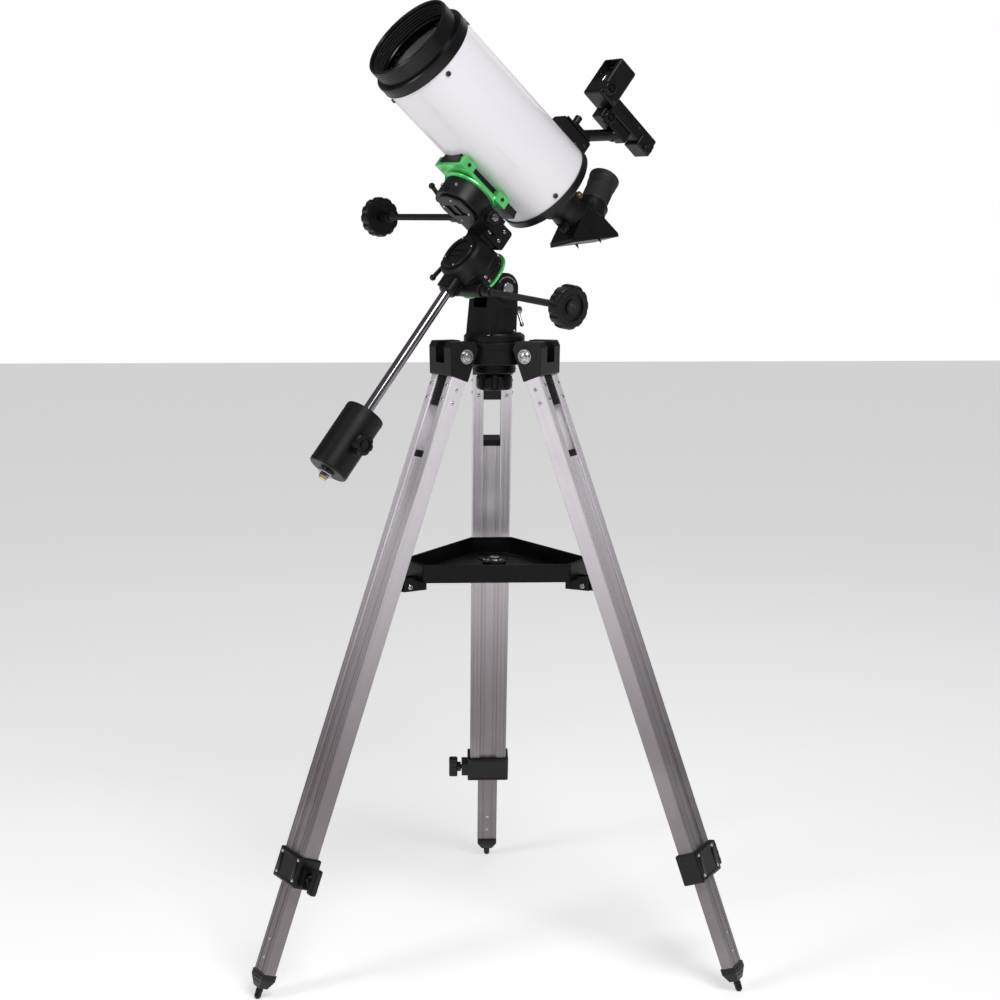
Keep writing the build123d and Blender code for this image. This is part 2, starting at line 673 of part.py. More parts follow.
def saddle():
    """The green saddle: a plate, one long fixed jaw and two short jaws with the rail's slope."""
    start = saddle_centre - saddle_length / 2
    end = start + saddle_length
    top = saddle_low + saddle_height
    wide = saddle_half_width
    plate = block((start, -wide, saddle_low), (end, wide, saddle_low + 4))
    plate = chamfer(plate.edges().filter_by(Axis.Z), 2.0)
    body = plate + block((start, -wide - 1.5, saddle_low), (end, -13, top))
    for low in (start, end - jaw_length):
        body += block((low, 13, saddle_low), (low + jaw_length, wide + 1.5, top))
    body -= dovetail(-free_gap, dovetail_low - free_gap, top + 9, start - 5, end + 5)
    height = saddle_low + saddle_screw_rise
    screw = rod((saddle_centre, -60, height), (saddle_centre, -15, height), screw_radius + running_fit)
    return body - screw


def saddle_knob():
    height = saddle_low + saddle_screw_rise
    wide = saddle_half_width + 1.5
    screw = rod((saddle_centre, -dovetail_bottom - 1.2, height), (saddle_centre, -wide - 8, height), 3)
    neck = soft_rod((saddle_centre, -wide - 8, height), (saddle_centre, -wide - 0.5, height), 5, 0.6)
    place = Plane(origin=(saddle_centre, -wide - 5, height), z_dir=(0, -1, 0)).location
    return screw + neck + place * lobed_knob(8.5, 13, 6, 3.0)


# ---- optical tube, in the mount frame ----
def along_tube(start, end, radius, across=0, rise=0):
    centre = optical_axis + rise
    return rod((start, across, centre), (end, across, centre), radius)


def tube_turned(profile):
    """A half profile of (radius, station) points turned about the optical axis."""
    place = Plane(origin=(0, 0, optical_axis), x_dir=(0, 1, 0), z_dir=(1, 0, 0)).location
    return place * turned(profile)


def dovetail_bar():
    end = dovetail_start + dovetail_length
    bar = dovetail(0, dovetail_low, dovetail_low + 12.5, dovetail_start, end)
    return bar - along_tube(0, 300, tube_radius + seat)


def tube():
    return along_tube(tube_start, tube_end, tube_radius) - along_tube(0, 300, tube_radius - tube_wall)


def front_cell():
    """The black front cell: a flange over the tube's end, a step, and the open hood in front."""
    step = tube_end + front_cell_height
    mouth = step + hood_length
    seat_depth = step - 2
    profile = [(corrector_radius - 2.5, tube_end - 3), (tube_radius - tube_wall - seat, tube_end - 3)]
    profile += [(tube_radius - tube_wall - seat, tube_end), (cell_radius, tube_end)]
    profile += [(cell_radius, step - 1.2), (cell_radius - 1.2, step), (hood_radius, step)]
    profile += [(hood_radius, mouth - 1), (hood_radius - 1, mouth), (corrector_radius + 0.6, mouth)]
    ledge = seat_depth - corrector_thickness - 1
    profile += [(corrector_radius + seat, mouth - 2), (corrector_radius + seat, ledge)]
    profile += [(corrector_radius - 2.5, ledge)]
    return tube_turned(profile)


def corrector_lens():
    """The deeply curved meniscus: both faces bulge towards the mirror."""
    back = tube_end + front_cell_height - 2 - corrector_thickness
    face = back + corrector_thickness
    sag = 9.0
    edge = (corrector_radius, back)
    hollow = ThreePointArc((0, face - sag), (corrector_radius * 0.5, face - sag * 0.75), (corrector_radius, face))
    bulge = ThreePointArc((0, back - sag), (corrector_radius * 0.5, back - sag * 0.75), edge)
    rim = Line(edge, (corrector_radius, face))
    middle = Line((0, back - sag), (0, face - sag))
    section = Plane.XZ * make_face(Curve() + [hollow, rim, bulge, middle])
    place = Plane(origin=(0, 0, optical_axis), x_dir=(0, 1, 0), z_dir=(1, 0, 0)).location
    return place * revolve(section, Axis.Z)


def rear_cell():
    """The back plate of the tube with its fixed baffle tube."""
    inner = tube_radius - tube_wall - seat
    hole = eyepiece_barrel - 6
    profile = [(hole, rear_face), (cell_radius - 1.2, rear_face), (cell_radius, rear_face + 1.2)]
    profile += [(cell_radius, tube_start), (inner, tube_start), (inner, tube_start + 3)]
    profile += [(inner - 2.5, tube_start + 3), (inner - 2.5, tube_start - 4), (baffle_radius, tube_start - 4)]
    profile += [(baffle_radius, tube_start + baffle_length), (hole, tube_start + baffle_length)]
    plate = tube_turned(profile)
    return plate - along_tube(0, 40, screw_radius + running_fit, focus_across, -focus_drop)


def primary_mirror():
    """The mirror on its carrier, sliding on the baffle tube."""
    low = tube_start + mirror_gap
    disc = along_tube(low, low + mirror_thickness, mirror_radius)
    disc += along_tube(low - 6, low, baffle_radius + 6)
    hollow_radius = 800.0
    hollow = Pos(low + mirror_thickness - 1.8 + hollow_radius, 0, optical_axis) * Sphere(hollow_radius)
    disc -= hollow
    return disc - along_tube(0, 100, baffle_radius + running_fit)


def focus_knob():
    """The focusing screw through the back plate, with its ribbed knob outside."""
    screw = along_tube(rear_face - 6, tube_start + mirror_gap - 8, screw_radius, focus_across, -focus_drop)
    collar = along_tube(rear_face - 3, rear_face - free_gap, 9, focus_across, -focus_drop)
    origin = (rear_face - 2, focus_across, optical_axis - focus_drop)
    return screw + collar + Plane(origin=origin, z_dir=(-1, 0, 0)).location * lobed_knob(11, 13, 14, 1.6)


def visual_back():
    """The rear tube, stepped down to the collar that takes the diagonal's nose, with a clamping screw."""
    end = rear_face - visual_back_length
    step = rear_face - visual_back_length * 0.55
    profile = [(eyepiece_barrel + running_fit, end), (visual_collar_radius - 1, end)]
    profile += [(visual_collar_radius, end + 1), (visual_collar_radius, step - 2)]
    profile += [(visual_back_radius, step + 2), (visual_back_radius, rear_face)]
    profile += [(eyepiece_barrel + running_fit, rear_face)]
    body = tube_turned(profile)
    slant = Vector(0, sin(radians(30)), -cos(radians(30)))
    base = Vector(end + 9, 0, optical_axis)
    body += soft_rod(base + slant * (visual_collar_radius - 1), base + slant * (visual_collar_radius + 5), 3.2, 0.4)
    return body + soft_rod(base + slant * (visual_collar_radius + 4), base + slant * (visual_collar_radius + 13), 5, 0.8)


visual_end = rear_face - visual_back_length
diagonal_front = visual_end - free_gap
diagonal_centre = diagonal_front - diagonal_leg / 2
socket_top = optical_axis + diagonal_leg / 2 + 16


def diagonal():
    """The star diagonal: nose, prism housing with its slanted cover, and the eyepiece socket."""
    top = optical_axis + diagonal_leg / 2
    drop = diagonal_drop
    outline = [(diagonal_front, top), (diagonal_front, top - drop), (diagonal_front - drop, top)]
    wide = diagonal_width / 2
    body = slab(outline, Plane.XZ, -wide, wide)
    body = chamfer(body.edges().filter_by(Axis.Y), 3.0)
    cover = Plane(origin=(diagonal_front - drop / 2, 0, top - drop / 2), x_dir=(0, 1, 0), z_dir=(-1, 0, -1))
    body += cover.location * Pos(0, 0, 0.6) * Box(diagonal_width + 3, drop * sqrt(2) - 8, 3.4)
    body += soft_rod((diagonal_centre, 0, top - 3), (diagonal_centre, 0, socket_top), 19.5, 0.8)
    body += along_tube(diagonal_front - 2, visual_end + 30, eyepiece_barrel)
    body -= along_tube(diagonal_centre, rear_face + 2, eyepiece_barrel - 2)
    bore = (diagonal_centre, 0, optical_axis)
    body -= rod(bore, (diagonal_centre, 0, socket_top + 5), eyepiece_barrel - 2)
    body -= rod((diagonal_centre, 0, top - 8), (diagonal_centre, 0, socket_top + 5), eyepiece_barrel + running_fit)
    screw_height = socket_top - 7
    at = diagonal_centre + 19
    body += soft_rod((at - 2, 0, screw_height), (at + 9, 0, screw_height), 4.4, 0.8)
    return body


def eyepiece():
    """Barrel, body with grip ring and rubber eyecup, hollow through its middle."""
    low = optical_axis + diagonal_leg / 2 - 7
    top = socket_top + eyepiece_height
    profile = [(9, low), (eyepiece_barrel, low), (eyepiece_barrel, socket_top + 0.4)]
    profile += [(eyepiece_radius, socket_top + 0.4), (eyepiece_radius, top - 16), (eyepiece_radius + 1, top - 15)]
    profile += [(eyepiece_radius + 1, top - 6), (eyepiece_radius + 2.4, top - 4)]
    profile += [(eyepiece_radius + 2.4, top - 1), (eyepiece_radius + 1.2, top), (11, top), (9, top - 6)]
    return Pos(diagonal_centre, 0, 0) * turned(profile)


# ---- red-dot finder, in the mount frame ----
shoe_start = 6.0
shoe_end = 54.0
finder_start = -72.0
finder_length = 100.0
finder_rise = 128.0       # of the finder's underside over the optical axis
finder_body_height = 20.0
hood_start = 8.0
hood_span = 30.0
finder_hood_height = 56.0
knee_at = -20.0


def finder_bracket():
    """The shoe on the tube, the slanted arm and the cradle under the finder."""
    base = optical_axis + tube_radius
    shoe = block((shoe_start, -13, base - 6), (shoe_end, 13, base + 19))
    shoe = chamfer(shoe.edges().filter_by(Axis.X).group_by(Axis.Z)[-1], 3.0)
    shoe -= along_tube(-50, 300, tube_radius + seat)
    shoe -= along_tube(-50, tube_start + 0.2, cell_radius + seat)
    foot_at = (shoe_start + shoe_end) / 2 - 6
    foot = soft_block((foot_at - 16, -9, base + 17), (foot_at + 14, 9, base + 26), 1.5)
    cradle_top = optical_axis + finder_rise
    knee = Vector(knee_at, 0, cradle_top - 14)
    arm = rod((foot_at - 6, 0, base + 20), knee, 7.0) + Location(knee) * Sphere(8.5)
    cradle = soft_block((knee_at - 16, -9, knee.Z), (knee_at + 34, 9, cradle_top), 1.5)
    screw = soft_rod((foot_at + 8, 0, base + 25), (foot_at + 8, 0, base + 37), 4.6, 0.8)
    return shoe + foot + arm + cradle + screw


def red_dot_finder():
    """The finder's long body, its tall window hood and the thicker battery end."""
    low = optical_axis + finder_rise
    top = low + finder_body_height
    body = soft_block((finder_start, -11, low), (finder_start + finder_length, 11, top), 2.5)
    body += soft_block((finder_start, -13, low - 4), (finder_start + 24, 13, low + 12), 2.0)
    hood = soft_block((hood_start, -17, low + 2), (hood_start + hood_span, 17, low + finder_hood_height), 3.5)
    window = block((hood_start - 10, -13, top), (hood_start + hood_span + 10, 13, low + finder_hood_height - 4))
    return body - block((hood_start, -30, low), (200, 30, top + 2)) + (hood - window)


def finder_window():
    low = optical_axis + finder_rise + finder_body_height + seat
    top = optical_axis + finder_rise + finder_hood_height - 4 - seat
    middle = hood_start + hood_span * 0.6
    return block((middle - 1, -13 + seat, low), (middle + 1, 13 - seat, top))


def finder_adjuster(along, height, reach):
    """A scalloped adjusting wheel on the finder's near side."""
    place = Plane(origin=(along, reach + free_gap, optical_axis + height), z_dir=(0, 1, 0)).location
    return place * lobed_knob(8.5, 9, 9, 2.2)


# ---- assembly ----
def at_mount(shape):
    return mount_frame.location * shape


def at_column(shape):
    return column_frame.location * shape


def about_polar(shape):
    """Turn a piece built about Z so that it lies about the polar axis."""
    return Plane(origin=(0, 0, 0), x_dir=(0, 1, 0), z_dir=(1, 0, 0)).location * shape


def worm_along(along, offset, way):
    """Lay a worm built about Z along the lateral axis, its long end towards `way`."""
    return Plane(origin=(along, 0, offset), z_dir=(0, way, 0)).location * worm_shaft(worm_reach, 12)


def build_pieces():
    pieces = {}
    for number, azimuth in enumerate(leg_azimuths, start=1):
        place = leg_frame(azimuth).location
        pieces[f"leg_castings_{number}"] = [place * leg_bracket(), place * tray_tongue(), place * leg_clamp()]
        pieces[f"leg_rails_{number}"] = [place * rail for rail in leg_rails()]
        pieces[f"clamp_knob_{number}"] = place * clamp_knob()
        pieces[f"inner_leg_{number}"] = place * inner_leg()
        pieces[f"leg_ends_{number}"] = [place * end for end in leg_ends()]
    pieces["head_casting"] = head_casting()
    pieces["pivot_bolts"] = pivot_bolts()
    pieces["head_knob"] = head_knob()
    pieces["tray"] = tray()
    pieces["azimuth_column"] = at_column(azimuth_column())
    pieces["tilt_lock"] = at_column(tilt_lock())
    pieces["t_bolt"] = at_column(t_bolt())
    pieces["tilt_bracket"] = at_mount(tilt_bracket())
    pieces["ra_circle"] = at_mount(about_polar(setting_circle(polar_circle_low, polar_hub_radius + running_fit)))
    pieces["ra_housing"] = at_mount(ra_housing())
    wheel_low = polar_worm - 3
    pieces["ra_wheel"] = at_mount(about_polar(gear(wheel_radius, wheel_low, wheel_low + 6, 48,
                                                   shaft_radius + running_fit)))
    pieces["ra_worm"] = at_mount(worm_along(polar_worm, -worm_offset, 1))
    worm_end = worm_reach + 1.5 + 1.0
    ra_knob = slow_motion_knob((polar_worm, worm_end, -worm_offset), polar_knob_at)
    pieces["ra_knob"] = [at_mount(part) for part in ra_knob]
    pieces["polar_shaft"] = at_mount(polar_shaft())
    pieces["ra_head"] = at_mount(ra_head())
    pieces["ra_lock_lever"] = at_mount(lock_lever(
        (ra_lever_at[0], -housing_radius, ra_lever_at[1]), (0, -1, 0), (0, 0, -1)))
    pieces["link_bracket"] = at_mount(link_bracket())
    pieces["counterweight_bar"] = at_mount(counterweight_bar())
    pieces["counterweight"] = at_mount(counterweight())
    pieces["counterweight_knob"] = at_mount(counterweight_knob())
    pieces["dec_housing"] = [at_mount(part) for part in dec_housing()]
    about_dec = Pos(dec_along_polar, 0, 0)
    pieces["dec_wheel"] = at_mount(about_dec * gear(wheel_radius, dec_worm_height - 3, dec_worm_height + 3, 48,
                                                    shaft_radius + running_fit))
    pieces["dec_worm"] = at_mount(worm_along(dec_worm_at, dec_worm_height, -1))
    dec_knob = slow_motion_knob((dec_worm_at, -worm_end, dec_worm_height),
                                (dec_worm_at, -dec_knob_reach, dec_worm_height))
    pieces["dec_knob"] = [at_mount(part) for part in dec_knob]
    lever_at = (dec_along_polar + dec_lever_offset[0], -housing_radius - free_gap, dec_low + dec_lever_offset[1])
    pieces["dec_lock_lever"] = at_mount(lock_lever(lever_at, (0, -1, 0), (0.7, 0, 0.3)))
    pieces["dec_shaft"] = at_mount(dec_shaft())
    pieces["dec_circle"] = at_mount(about_dec * setting_circle(dec_circle_low, shaft_radius + running_fit))
    pieces["saddle"] = at_mount(saddle())
    pieces["saddle_knob"] = at_mount(saddle_knob())
    for build in (dovetail_bar, tube, front_cell, corrector_lens, rear_cell, primary_mirror, focus_knob,
                  visual_back, finder_bracket, red_dot_finder, finder_window):
        pieces[build.__name__] = at_mount(build())
    pieces["finder_adjuster_1"] = at_mount(finder_adjuster(hood_start + 24, finder_rise + 12, 17))
    pieces["finder_adjuster_2"] = at_mount(finder_adjuster(knee_at + 26, finder_rise - 10, 9))
    turn = Pos(0, 0, optical_axis) * Rot(diagonal_turn, 0, 0) * Pos(0, 0, -optical_axis)
    for build in (diagonal, eyepiece):
        pieces[build.__name__] = at_mount(turn * build())
    return pieces


def as_compound(shape, name):
    solids = []
    for item in shape if isinstance(shape, list) else [shape]:
        solids += list(item.solids())
    return Compound(label=name, children=solids)


pieces = {name: as_compound(shape, name) for name, shape in build_pieces().items()}
whole = Compound(children=[Compound(list(piece.solids())) for piece in pieces.values()]).bounding_box()
shift = Vector(-(whole.min.X + whole.max.X) / 2, -(whole.min.Y + whole.max.Y) / 2, -whole.min.Z)

os.makedirs("parts", exist_ok=True)
for name, piece in pieces.items():
    placed = Compound([solid.moved(Location(shift)) for solid in piece.solids()])
    export_step(placed, f"parts/{name}.step")
print("nodes", len(pieces), "shift", shift, "size", whole.size)
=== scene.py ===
"""Materials, small fittings, studio and camera for the telescope on its tripod."""
import json
import math

import bmesh
import bpy
from mathutils import Matrix, Vector


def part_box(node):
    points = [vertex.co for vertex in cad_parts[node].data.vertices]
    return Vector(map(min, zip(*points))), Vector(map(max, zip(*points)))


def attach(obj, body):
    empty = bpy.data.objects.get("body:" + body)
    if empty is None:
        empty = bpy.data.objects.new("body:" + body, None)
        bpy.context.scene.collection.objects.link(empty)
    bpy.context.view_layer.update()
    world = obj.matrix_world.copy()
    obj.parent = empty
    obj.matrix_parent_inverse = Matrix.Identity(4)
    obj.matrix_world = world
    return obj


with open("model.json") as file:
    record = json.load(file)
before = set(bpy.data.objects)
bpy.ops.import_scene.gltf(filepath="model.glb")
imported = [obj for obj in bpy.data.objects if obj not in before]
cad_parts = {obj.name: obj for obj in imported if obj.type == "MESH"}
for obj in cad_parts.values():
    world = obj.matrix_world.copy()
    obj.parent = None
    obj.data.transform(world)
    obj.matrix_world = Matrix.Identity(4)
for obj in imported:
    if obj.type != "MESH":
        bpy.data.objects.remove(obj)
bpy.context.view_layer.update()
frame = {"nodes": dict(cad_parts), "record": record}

MM = 0.001
JOINTS = {j["name"]: j for j in frame["record"]["behaviour"]["joints"]}
POLAR = Vector(JOINTS["ra_axis"]["axis"])
DECLINATION = Vector(JOINTS["dec_axis"]["axis"])
LATERAL = Vector(JOINTS["latitude"]["axis"])
PIVOT = Vector(JOINTS["latitude"]["pos_m"])
AZIMUTH = Vector(JOINTS["azimuth"]["pos_m"])
SOUTH = LATERAL.cross(Vector((0, 0, -1))).normalized()
UP = Vector((0, 0, 1))
OPTICAL_AXIS = 137.0      # height of the tube's axis over the polar axis
TUBE_RADIUS = 59.0
LEGS = (1, 2, 3)


def at(a, c, b):
    """A place in the mount's own axes, in millimetres from the latitude pivot."""
    return PIVOT + (POLAR * a + LATERAL * c + DECLINATION * b) * MM


def on_column(south, lateral, height):
    """A place on the azimuth column, in millimetres from the latitude pivot, upright."""
    return PIVOT + (SOUTH * south + LATERAL * lateral + UP * height) * MM


def facing(place, normal, across=None):
    """A matrix at a place whose Z looks along the normal."""
    z = normal.normalized()
    x = across if across is not None else (UP if abs(z.z) < 0.9 else Vector((1, 0, 0)))
    x = (x - z * x.dot(z)).normalized()
    turn = Matrix((x, z.cross(x), z)).transposed().to_4x4()
    return Matrix.Translation(place) @ turn


# ---------------------------------------------------------------- shader maths
def plug(tree, socket, value):
    if isinstance(value, Wire):
        tree.links.new(value.out, socket)
    else:
        socket.default_value = value


class Wire:
    """One output in a node tree. Arithmetic on it adds maths nodes."""

    def __init__(self, tree, out):
        self.tree, self.out = tree, out

    def node(self, kind, inputs=(), out=0, **settings):
        made = self.tree.nodes.new("ShaderNode" + kind)
        for key, value in settings.items():
            setattr(made, key, value)
        for key, value in dict(inputs).items():
            plug(self.tree, made.inputs[key], value)
        return Wire(self.tree, made.outputs[out])

    def maths(self, operation, *values):
        return self.node("Math", enumerate(values), operation=operation)

    def vector(self, operation, *values, out=0):
        return self.node("VectorMath", enumerate(values), out, operation=operation)

    def __add__(self, other): return self.maths("ADD", self, other)
    def __radd__(self, other): return self.maths("ADD", other, self)
    def __sub__(self, other): return self.maths("SUBTRACT", self, other)
    def __rsub__(self, other): return self.maths("SUBTRACT", other, self)
    def __mul__(self, other): return self.maths("MULTIPLY", self, other)
    def __rmul__(self, other): return self.maths("MULTIPLY", other, self)
    def __truediv__(self, other): return self.maths("DIVIDE", self, other)
    def __gt__(self, other): return self.maths("GREATER_THAN", self, other)

    def ramp(self, low, high, first=0.0, last=1.0):
        """A smooth step from one value to another as this goes from low to high."""
        given = {0: self, 1: low, 2: high, 3: first, 4: last}
        return self.node("MapRange", given, interpolation_type="SMOOTHSTEP")

    def blend(self, first, last):
        """A colour between two, by this factor."""
        given = {0: self, 6: first, 7: last}
        return self.node("Mix", given, 2, data_type="RGBA")

    def noise(self, scale, detail=3.0, stretch=None):
        """Cloudy noise over this vector; stretch makes it long along a direction."""
        place = self
        if stretch is not None:
            along = self.vector("DOT_PRODUCT", self, tuple(stretch), out=1) * 0.985
            part = self.node("VectorMath", {0: tuple(stretch), "Scale": along}, operation="SCALE")
            place = self.vector("SUBTRACT", self, part)
        return self.node("TexNoise", {"Vector": place, "Scale": scale, "Detail": detail})

    def rings(self, centre, axis, width):
        """Fine turned lines about an axis: noise that depends only on radius and height."""
        local = self.vector("SUBTRACT", self, tuple(centre))
        height = self.vector("DOT_PRODUCT", local, tuple(axis), out=1)
        lift = self.node("VectorMath", {0: tuple(axis), "Scale": height}, operation="SCALE")
        radius = self.vector("LENGTH", self.vector("SUBTRACT", local, lift), out=1)
        place = self.node("CombineXYZ", {0: radius / width, 1: height / width})
        return self.node("TexNoise", {"Vector": place, "Scale": 1.0, "Detail": 2.0})


def material(name, recipe, **fixed):
    """A Principled material; the recipe gets the object's coordinates and returns its inputs."""
    made = bpy.data.materials.new(name)
    made.use_nodes = True
    tree = made.node_tree
    shader = tree.nodes["Principled BSDF"]
    start = tree.nodes.new("ShaderNodeTexCoord")
    given = recipe(Wire(tree, start.outputs["Object"]))
    given.update(fixed)
    height = given.pop("height", None)
    if height is not None:
        wire, depth = height
        bump = wire.node("Bump", {"Height": wire, "Strength": 1.0, "Distance": depth})
        given["Normal"] = bump
    for key, value in given.items():
        plug(tree, shader.inputs[key.replace("_", " ")], value)
    return made


def grey(value, tint=(1.0, 1.0, 1.0)):
    return (value * tint[0], value * tint[1], value * tint[2], 1.0)


def coated_black(value, rough, grain, depth, tint=(1.0, 1.0, 1.06)):
    """Black powder coat or moulded plastic: fine grain, slow variation and rubbed, paler patches."""
    def recipe(place):
        cloud = place.noise(14.0)
        rubbed = place.noise(55.0, 6.0).ramp(0.58, 0.74)
        fine = place.noise(grain, 2.0)
        base = cloud.blend(grey(value * 0.75, tint), grey(value * 1.3, tint))
        colour = (rubbed * 0.5).blend(base, grey(value * 2.6, tint))
        return {"Base Color": colour, "height": (fine, depth),
                "Roughness": rough + (cloud - 0.5) * 0.16 - rubbed * 0.06 + (fine - 0.5) * 0.1}
    return recipe


def pearl(place):
    """White pearl lacquer: fine flake, a trace of lilac, and a nearly smooth clear coat."""
    cloud = place.noise(6.0)
    flake = place.noise(2600.0, 1.0).ramp(0.55, 0.68)
    base = cloud.blend((0.83, 0.80, 0.85, 1.0), (0.89, 0.865, 0.90, 1.0))
    colour = (flake * 0.35).blend(base, (0.93, 0.93, 0.96, 1.0))
    return {"Base Color": colour, "Roughness": 0.36 - flake * 0.1 + (cloud - 0.5) * 0.08,
            "Metallic": flake * 0.12, "height": (place.noise(420.0, 2.0), 0.00003)}


def leg_metal(along):
    """Satin anodised extrusion: long drawing lines, faint stains, and painted shade that makes the leg warmer
    and darker towards the foot.
    """
    def recipe(place):
        drawn = place.noise(900.0, 3.0, along)
        broad = place.noise(120.0, 3.0, along)
        stain = place.noise(9.0, 4.0)
        scratch = place.noise(2200.0, 1.0, along).ramp(0.66, 0.74)
        height = place.node("SeparateXYZ", {0: place}, 2)
        # painted shade: below 0.66 m the colour is blended towards a warm near-black, fully by 0.22 m, in place
        # of light that falls off towards the floor
        low = height.ramp(0.66, 0.22)
        base = broad.blend((0.80, 0.76, 0.81, 1.0), (0.93, 0.895, 0.935, 1.0))
        shaded_toward_floor = (low * 0.85).blend(base, (0.120, 0.098, 0.102, 1.0))
        colour = (stain.ramp(0.5, 0.75) * 0.3).blend(shaded_toward_floor, (0.54, 0.50, 0.52, 1.0))
        rough = 0.36 + (drawn - 0.5) * 0.16 + (stain - 0.5) * 0.12 - scratch * 0.08
        return {"Base Color": colour, "Roughness": rough, "height": (drawn + broad * 0.6, 0.00005)}
    return recipe


def bright_metal(colour, rough, spread=0.08, scale=260.0, depth=0.00001):
    def recipe(place):
        cloud = place.noise(scale, 4.0)
        wipe = place.noise(28.0, 4.0)
        dull = tuple(v * 0.78 for v in colour) + (1.0,)
        return {"Base Color": wipe.ramp(0.35, 0.7).blend(tuple(colour) + (1.0,), dull),
                "Roughness": rough + (cloud - 0.5) * spread + (wipe - 0.5) * spread,
                "height": (cloud, depth)}
    return recipe


def turned_metal(colour, centre, axis, rough, width=0.00028, depth=0.00004):
    """Metal or anodising with the fine circular marks of a lathe."""
    def recipe(place):
        marks = place.rings(centre, axis, width)
        cloud = place.noise(20.0)
        deep = tuple(v * 0.72 for v in colour) + (1.0,)
        cut = (marks * 0.6 + cloud * 0.4).ramp(0.35, 0.68)
        return {"Base Color": cut.blend(deep, tuple(colour) + (1.0,)),
                "Roughness": rough + (marks - 0.5) * 0.2 + (cloud - 0.5) * 0.08, "height": (marks, depth)}
    return recipe


def coated_glass(tint):
    def recipe(place):
        film = place.noise(5.0, 1.0)
        dust = place.noise(900.0, 2.0).ramp(0.7, 0.8)
        return {"Base Color": film.blend(tint, (0.97, 0.99, 0.98, 1.0)), "Roughness": 0.01 + dust * 0.12}
    return recipe


CAST = material("satin_black_casting", coated_black(0.0042, 0.42, 1500.0, 0.00009, (1.06, 0.96, 1.12)),
                Specular_IOR_Level=0.28)
PLASTIC = material("black_moulded_plastic", coated_black(0.0044, 0.36, 2100.0, 0.00005, (1.06, 0.95, 1.12)),
                   Specular_IOR_Level=0.32)
CELL = material("black_cell_paint", coated_black(0.0036, 0.3, 1900.0, 0.00003, (1.1, 0.94, 1.2)),
                Specular_IOR_Level=0.3, Coat_Weight=0.08, Coat_Roughness=0.18)
TRAY_PLASTIC = material("tray_plastic", coated_black(0.0034, 0.4, 700.0, 0.00014, (1.04, 0.96, 1.08)),
                        Specular_IOR_Level=0.22)
RUBBER = material("soft_black_rubber", coated_black(0.010, 0.65, 1200.0, 0.00012, (1.0, 0.98, 1.0)))
BAFFLE = material("flat_black_inside", coated_black(0.006, 0.85, 900.0, 0.00015))
PEARL = material("pearl_white_lacquer", pearl, Coat_Weight=0.7, Coat_Roughness=0.06)
CHROME = material("polished_chrome", bright_metal((0.38, 0.355, 0.39), 0.14, 0.06), Metallic=1.0)
STEEL = material("bright_steel", bright_metal((0.62, 0.61, 0.62), 0.24, 0.14), Metallic=1.0)
DARK_STEEL = material("black_screw_steel", bright_metal((0.06, 0.06, 0.065), 0.3, 0.14), Metallic=0.8)
BRASS = material("machined_brass", bright_metal((0.83, 0.60, 0.26), 0.22, 0.12), Metallic=1.0)
OLIVE = material("dull_brass_screw", bright_metal((0.36, 0.30, 0.12), 0.34, 0.14), Metallic=0.9)
CIRCLE_GREEN = (0.15, 0.90, 0.25)
GREEN_RA = material("green_anodised_polar", turned_metal(CIRCLE_GREEN, at(20, 0, 0), POLAR, 0.3),
                    Metallic=0.55, Coat_Weight=0.25)
GREEN_DEC = material("green_anodised_declination", turned_metal(CIRCLE_GREEN, at(98, 0, 0), DECLINATION, 0.3),
                     Metallic=0.55, Coat_Weight=0.25)
GREEN = material("green_anodised_saddle", bright_metal((0.20, 0.95, 0.28), 0.28, 0.12, 500.0, 0.00002),
                 Metallic=0.5, Coat_Weight=0.25)
LENS = material("coated_lens_glass", coated_glass((0.90, 0.98, 0.93, 1.0)), Transmission_Weight=1.0, IOR=1.5)
RED_GLASS = material("finder_window_glass", coated_glass((0.96, 0.80, 0.78, 1.0)),
                     Transmission_Weight=1.0, IOR=1.45)
MIRROR = material("aluminised_mirror", bright_metal((0.93, 0.93, 0.94), 0.03, 0.02, 90.0, 0.000001),
                  Metallic=1.0)
WHITE_INK = material("white_scale_marks", coated_black(0.62, 0.5, 900.0, 0.00002, (1.0, 1.0, 0.98)))
LED = material("battery_indicator", coated_black(0.05, 0.2, 900.0, 0.00002, (6.0, 0.6, 0.4)), Coat_Weight=0.6)
LEG_AXIS = {n: Vector(JOINTS[f"leg_slide_{n}"]["axis"]) for n in LEGS}
LEG_METAL = {n: material(f"leg_aluminium_{n}", leg_metal(LEG_AXIS[n]), Metallic=0.35) for n in LEGS}

finishes = {
    CAST: "head_casting azimuth_column tilt_bracket ra_housing ra_head link_bracket dec_housing counterweight",
    PLASTIC: "head_knob ra_knob dec_knob ra_lock_lever dec_lock_lever counterweight_knob saddle_knob focus_knob "
             "finder_bracket red_dot_finder finder_adjuster_1 finder_adjuster_2 diagonal visual_back",
    TRAY_PLASTIC: "tray", RUBBER: "eyepiece", CELL: "front_cell rear_cell dovetail_bar", PEARL: "tube",
    STEEL: "pivot_bolts tilt_lock polar_shaft dec_shaft ra_worm dec_worm", CHROME: "counterweight_bar t_bolt",
    BRASS: "ra_wheel dec_wheel", GREEN_RA: "ra_circle", GREEN_DEC: "dec_circle", GREEN: "saddle",
    LENS: "corrector_lens", RED_GLASS: "finder_window", MIRROR: "primary_mirror",
}
for n in LEGS:
    finishes[LEG_METAL[n]] = f"leg_rails_{n} inner_leg_{n}"
    finishes[PLASTIC] += f" leg_castings_{n} clamp_knob_{n} leg_ends_{n}"
for finish, names in finishes.items():
    for name in names.split():
        mesh = frame["nodes"][name].data
        mesh.materials.clear()
        mesh.materials.append(finish)


# ---------------------------------------------------------------- mesh helpers
def add_part(bm, part, place):
    """Puts a finished small bmesh into a larger one, at a place."""
    bmesh.ops.transform(part, matrix=place, verts=part.verts)
    bmesh.ops.recalc_face_normals(part, faces=part.faces)
    carrier = bpy.data.meshes.new("carrier")
    part.to_mesh(carrier)
    part.free()
    bm.from_mesh(carrier)
    bpy.data.meshes.remove(carrier)


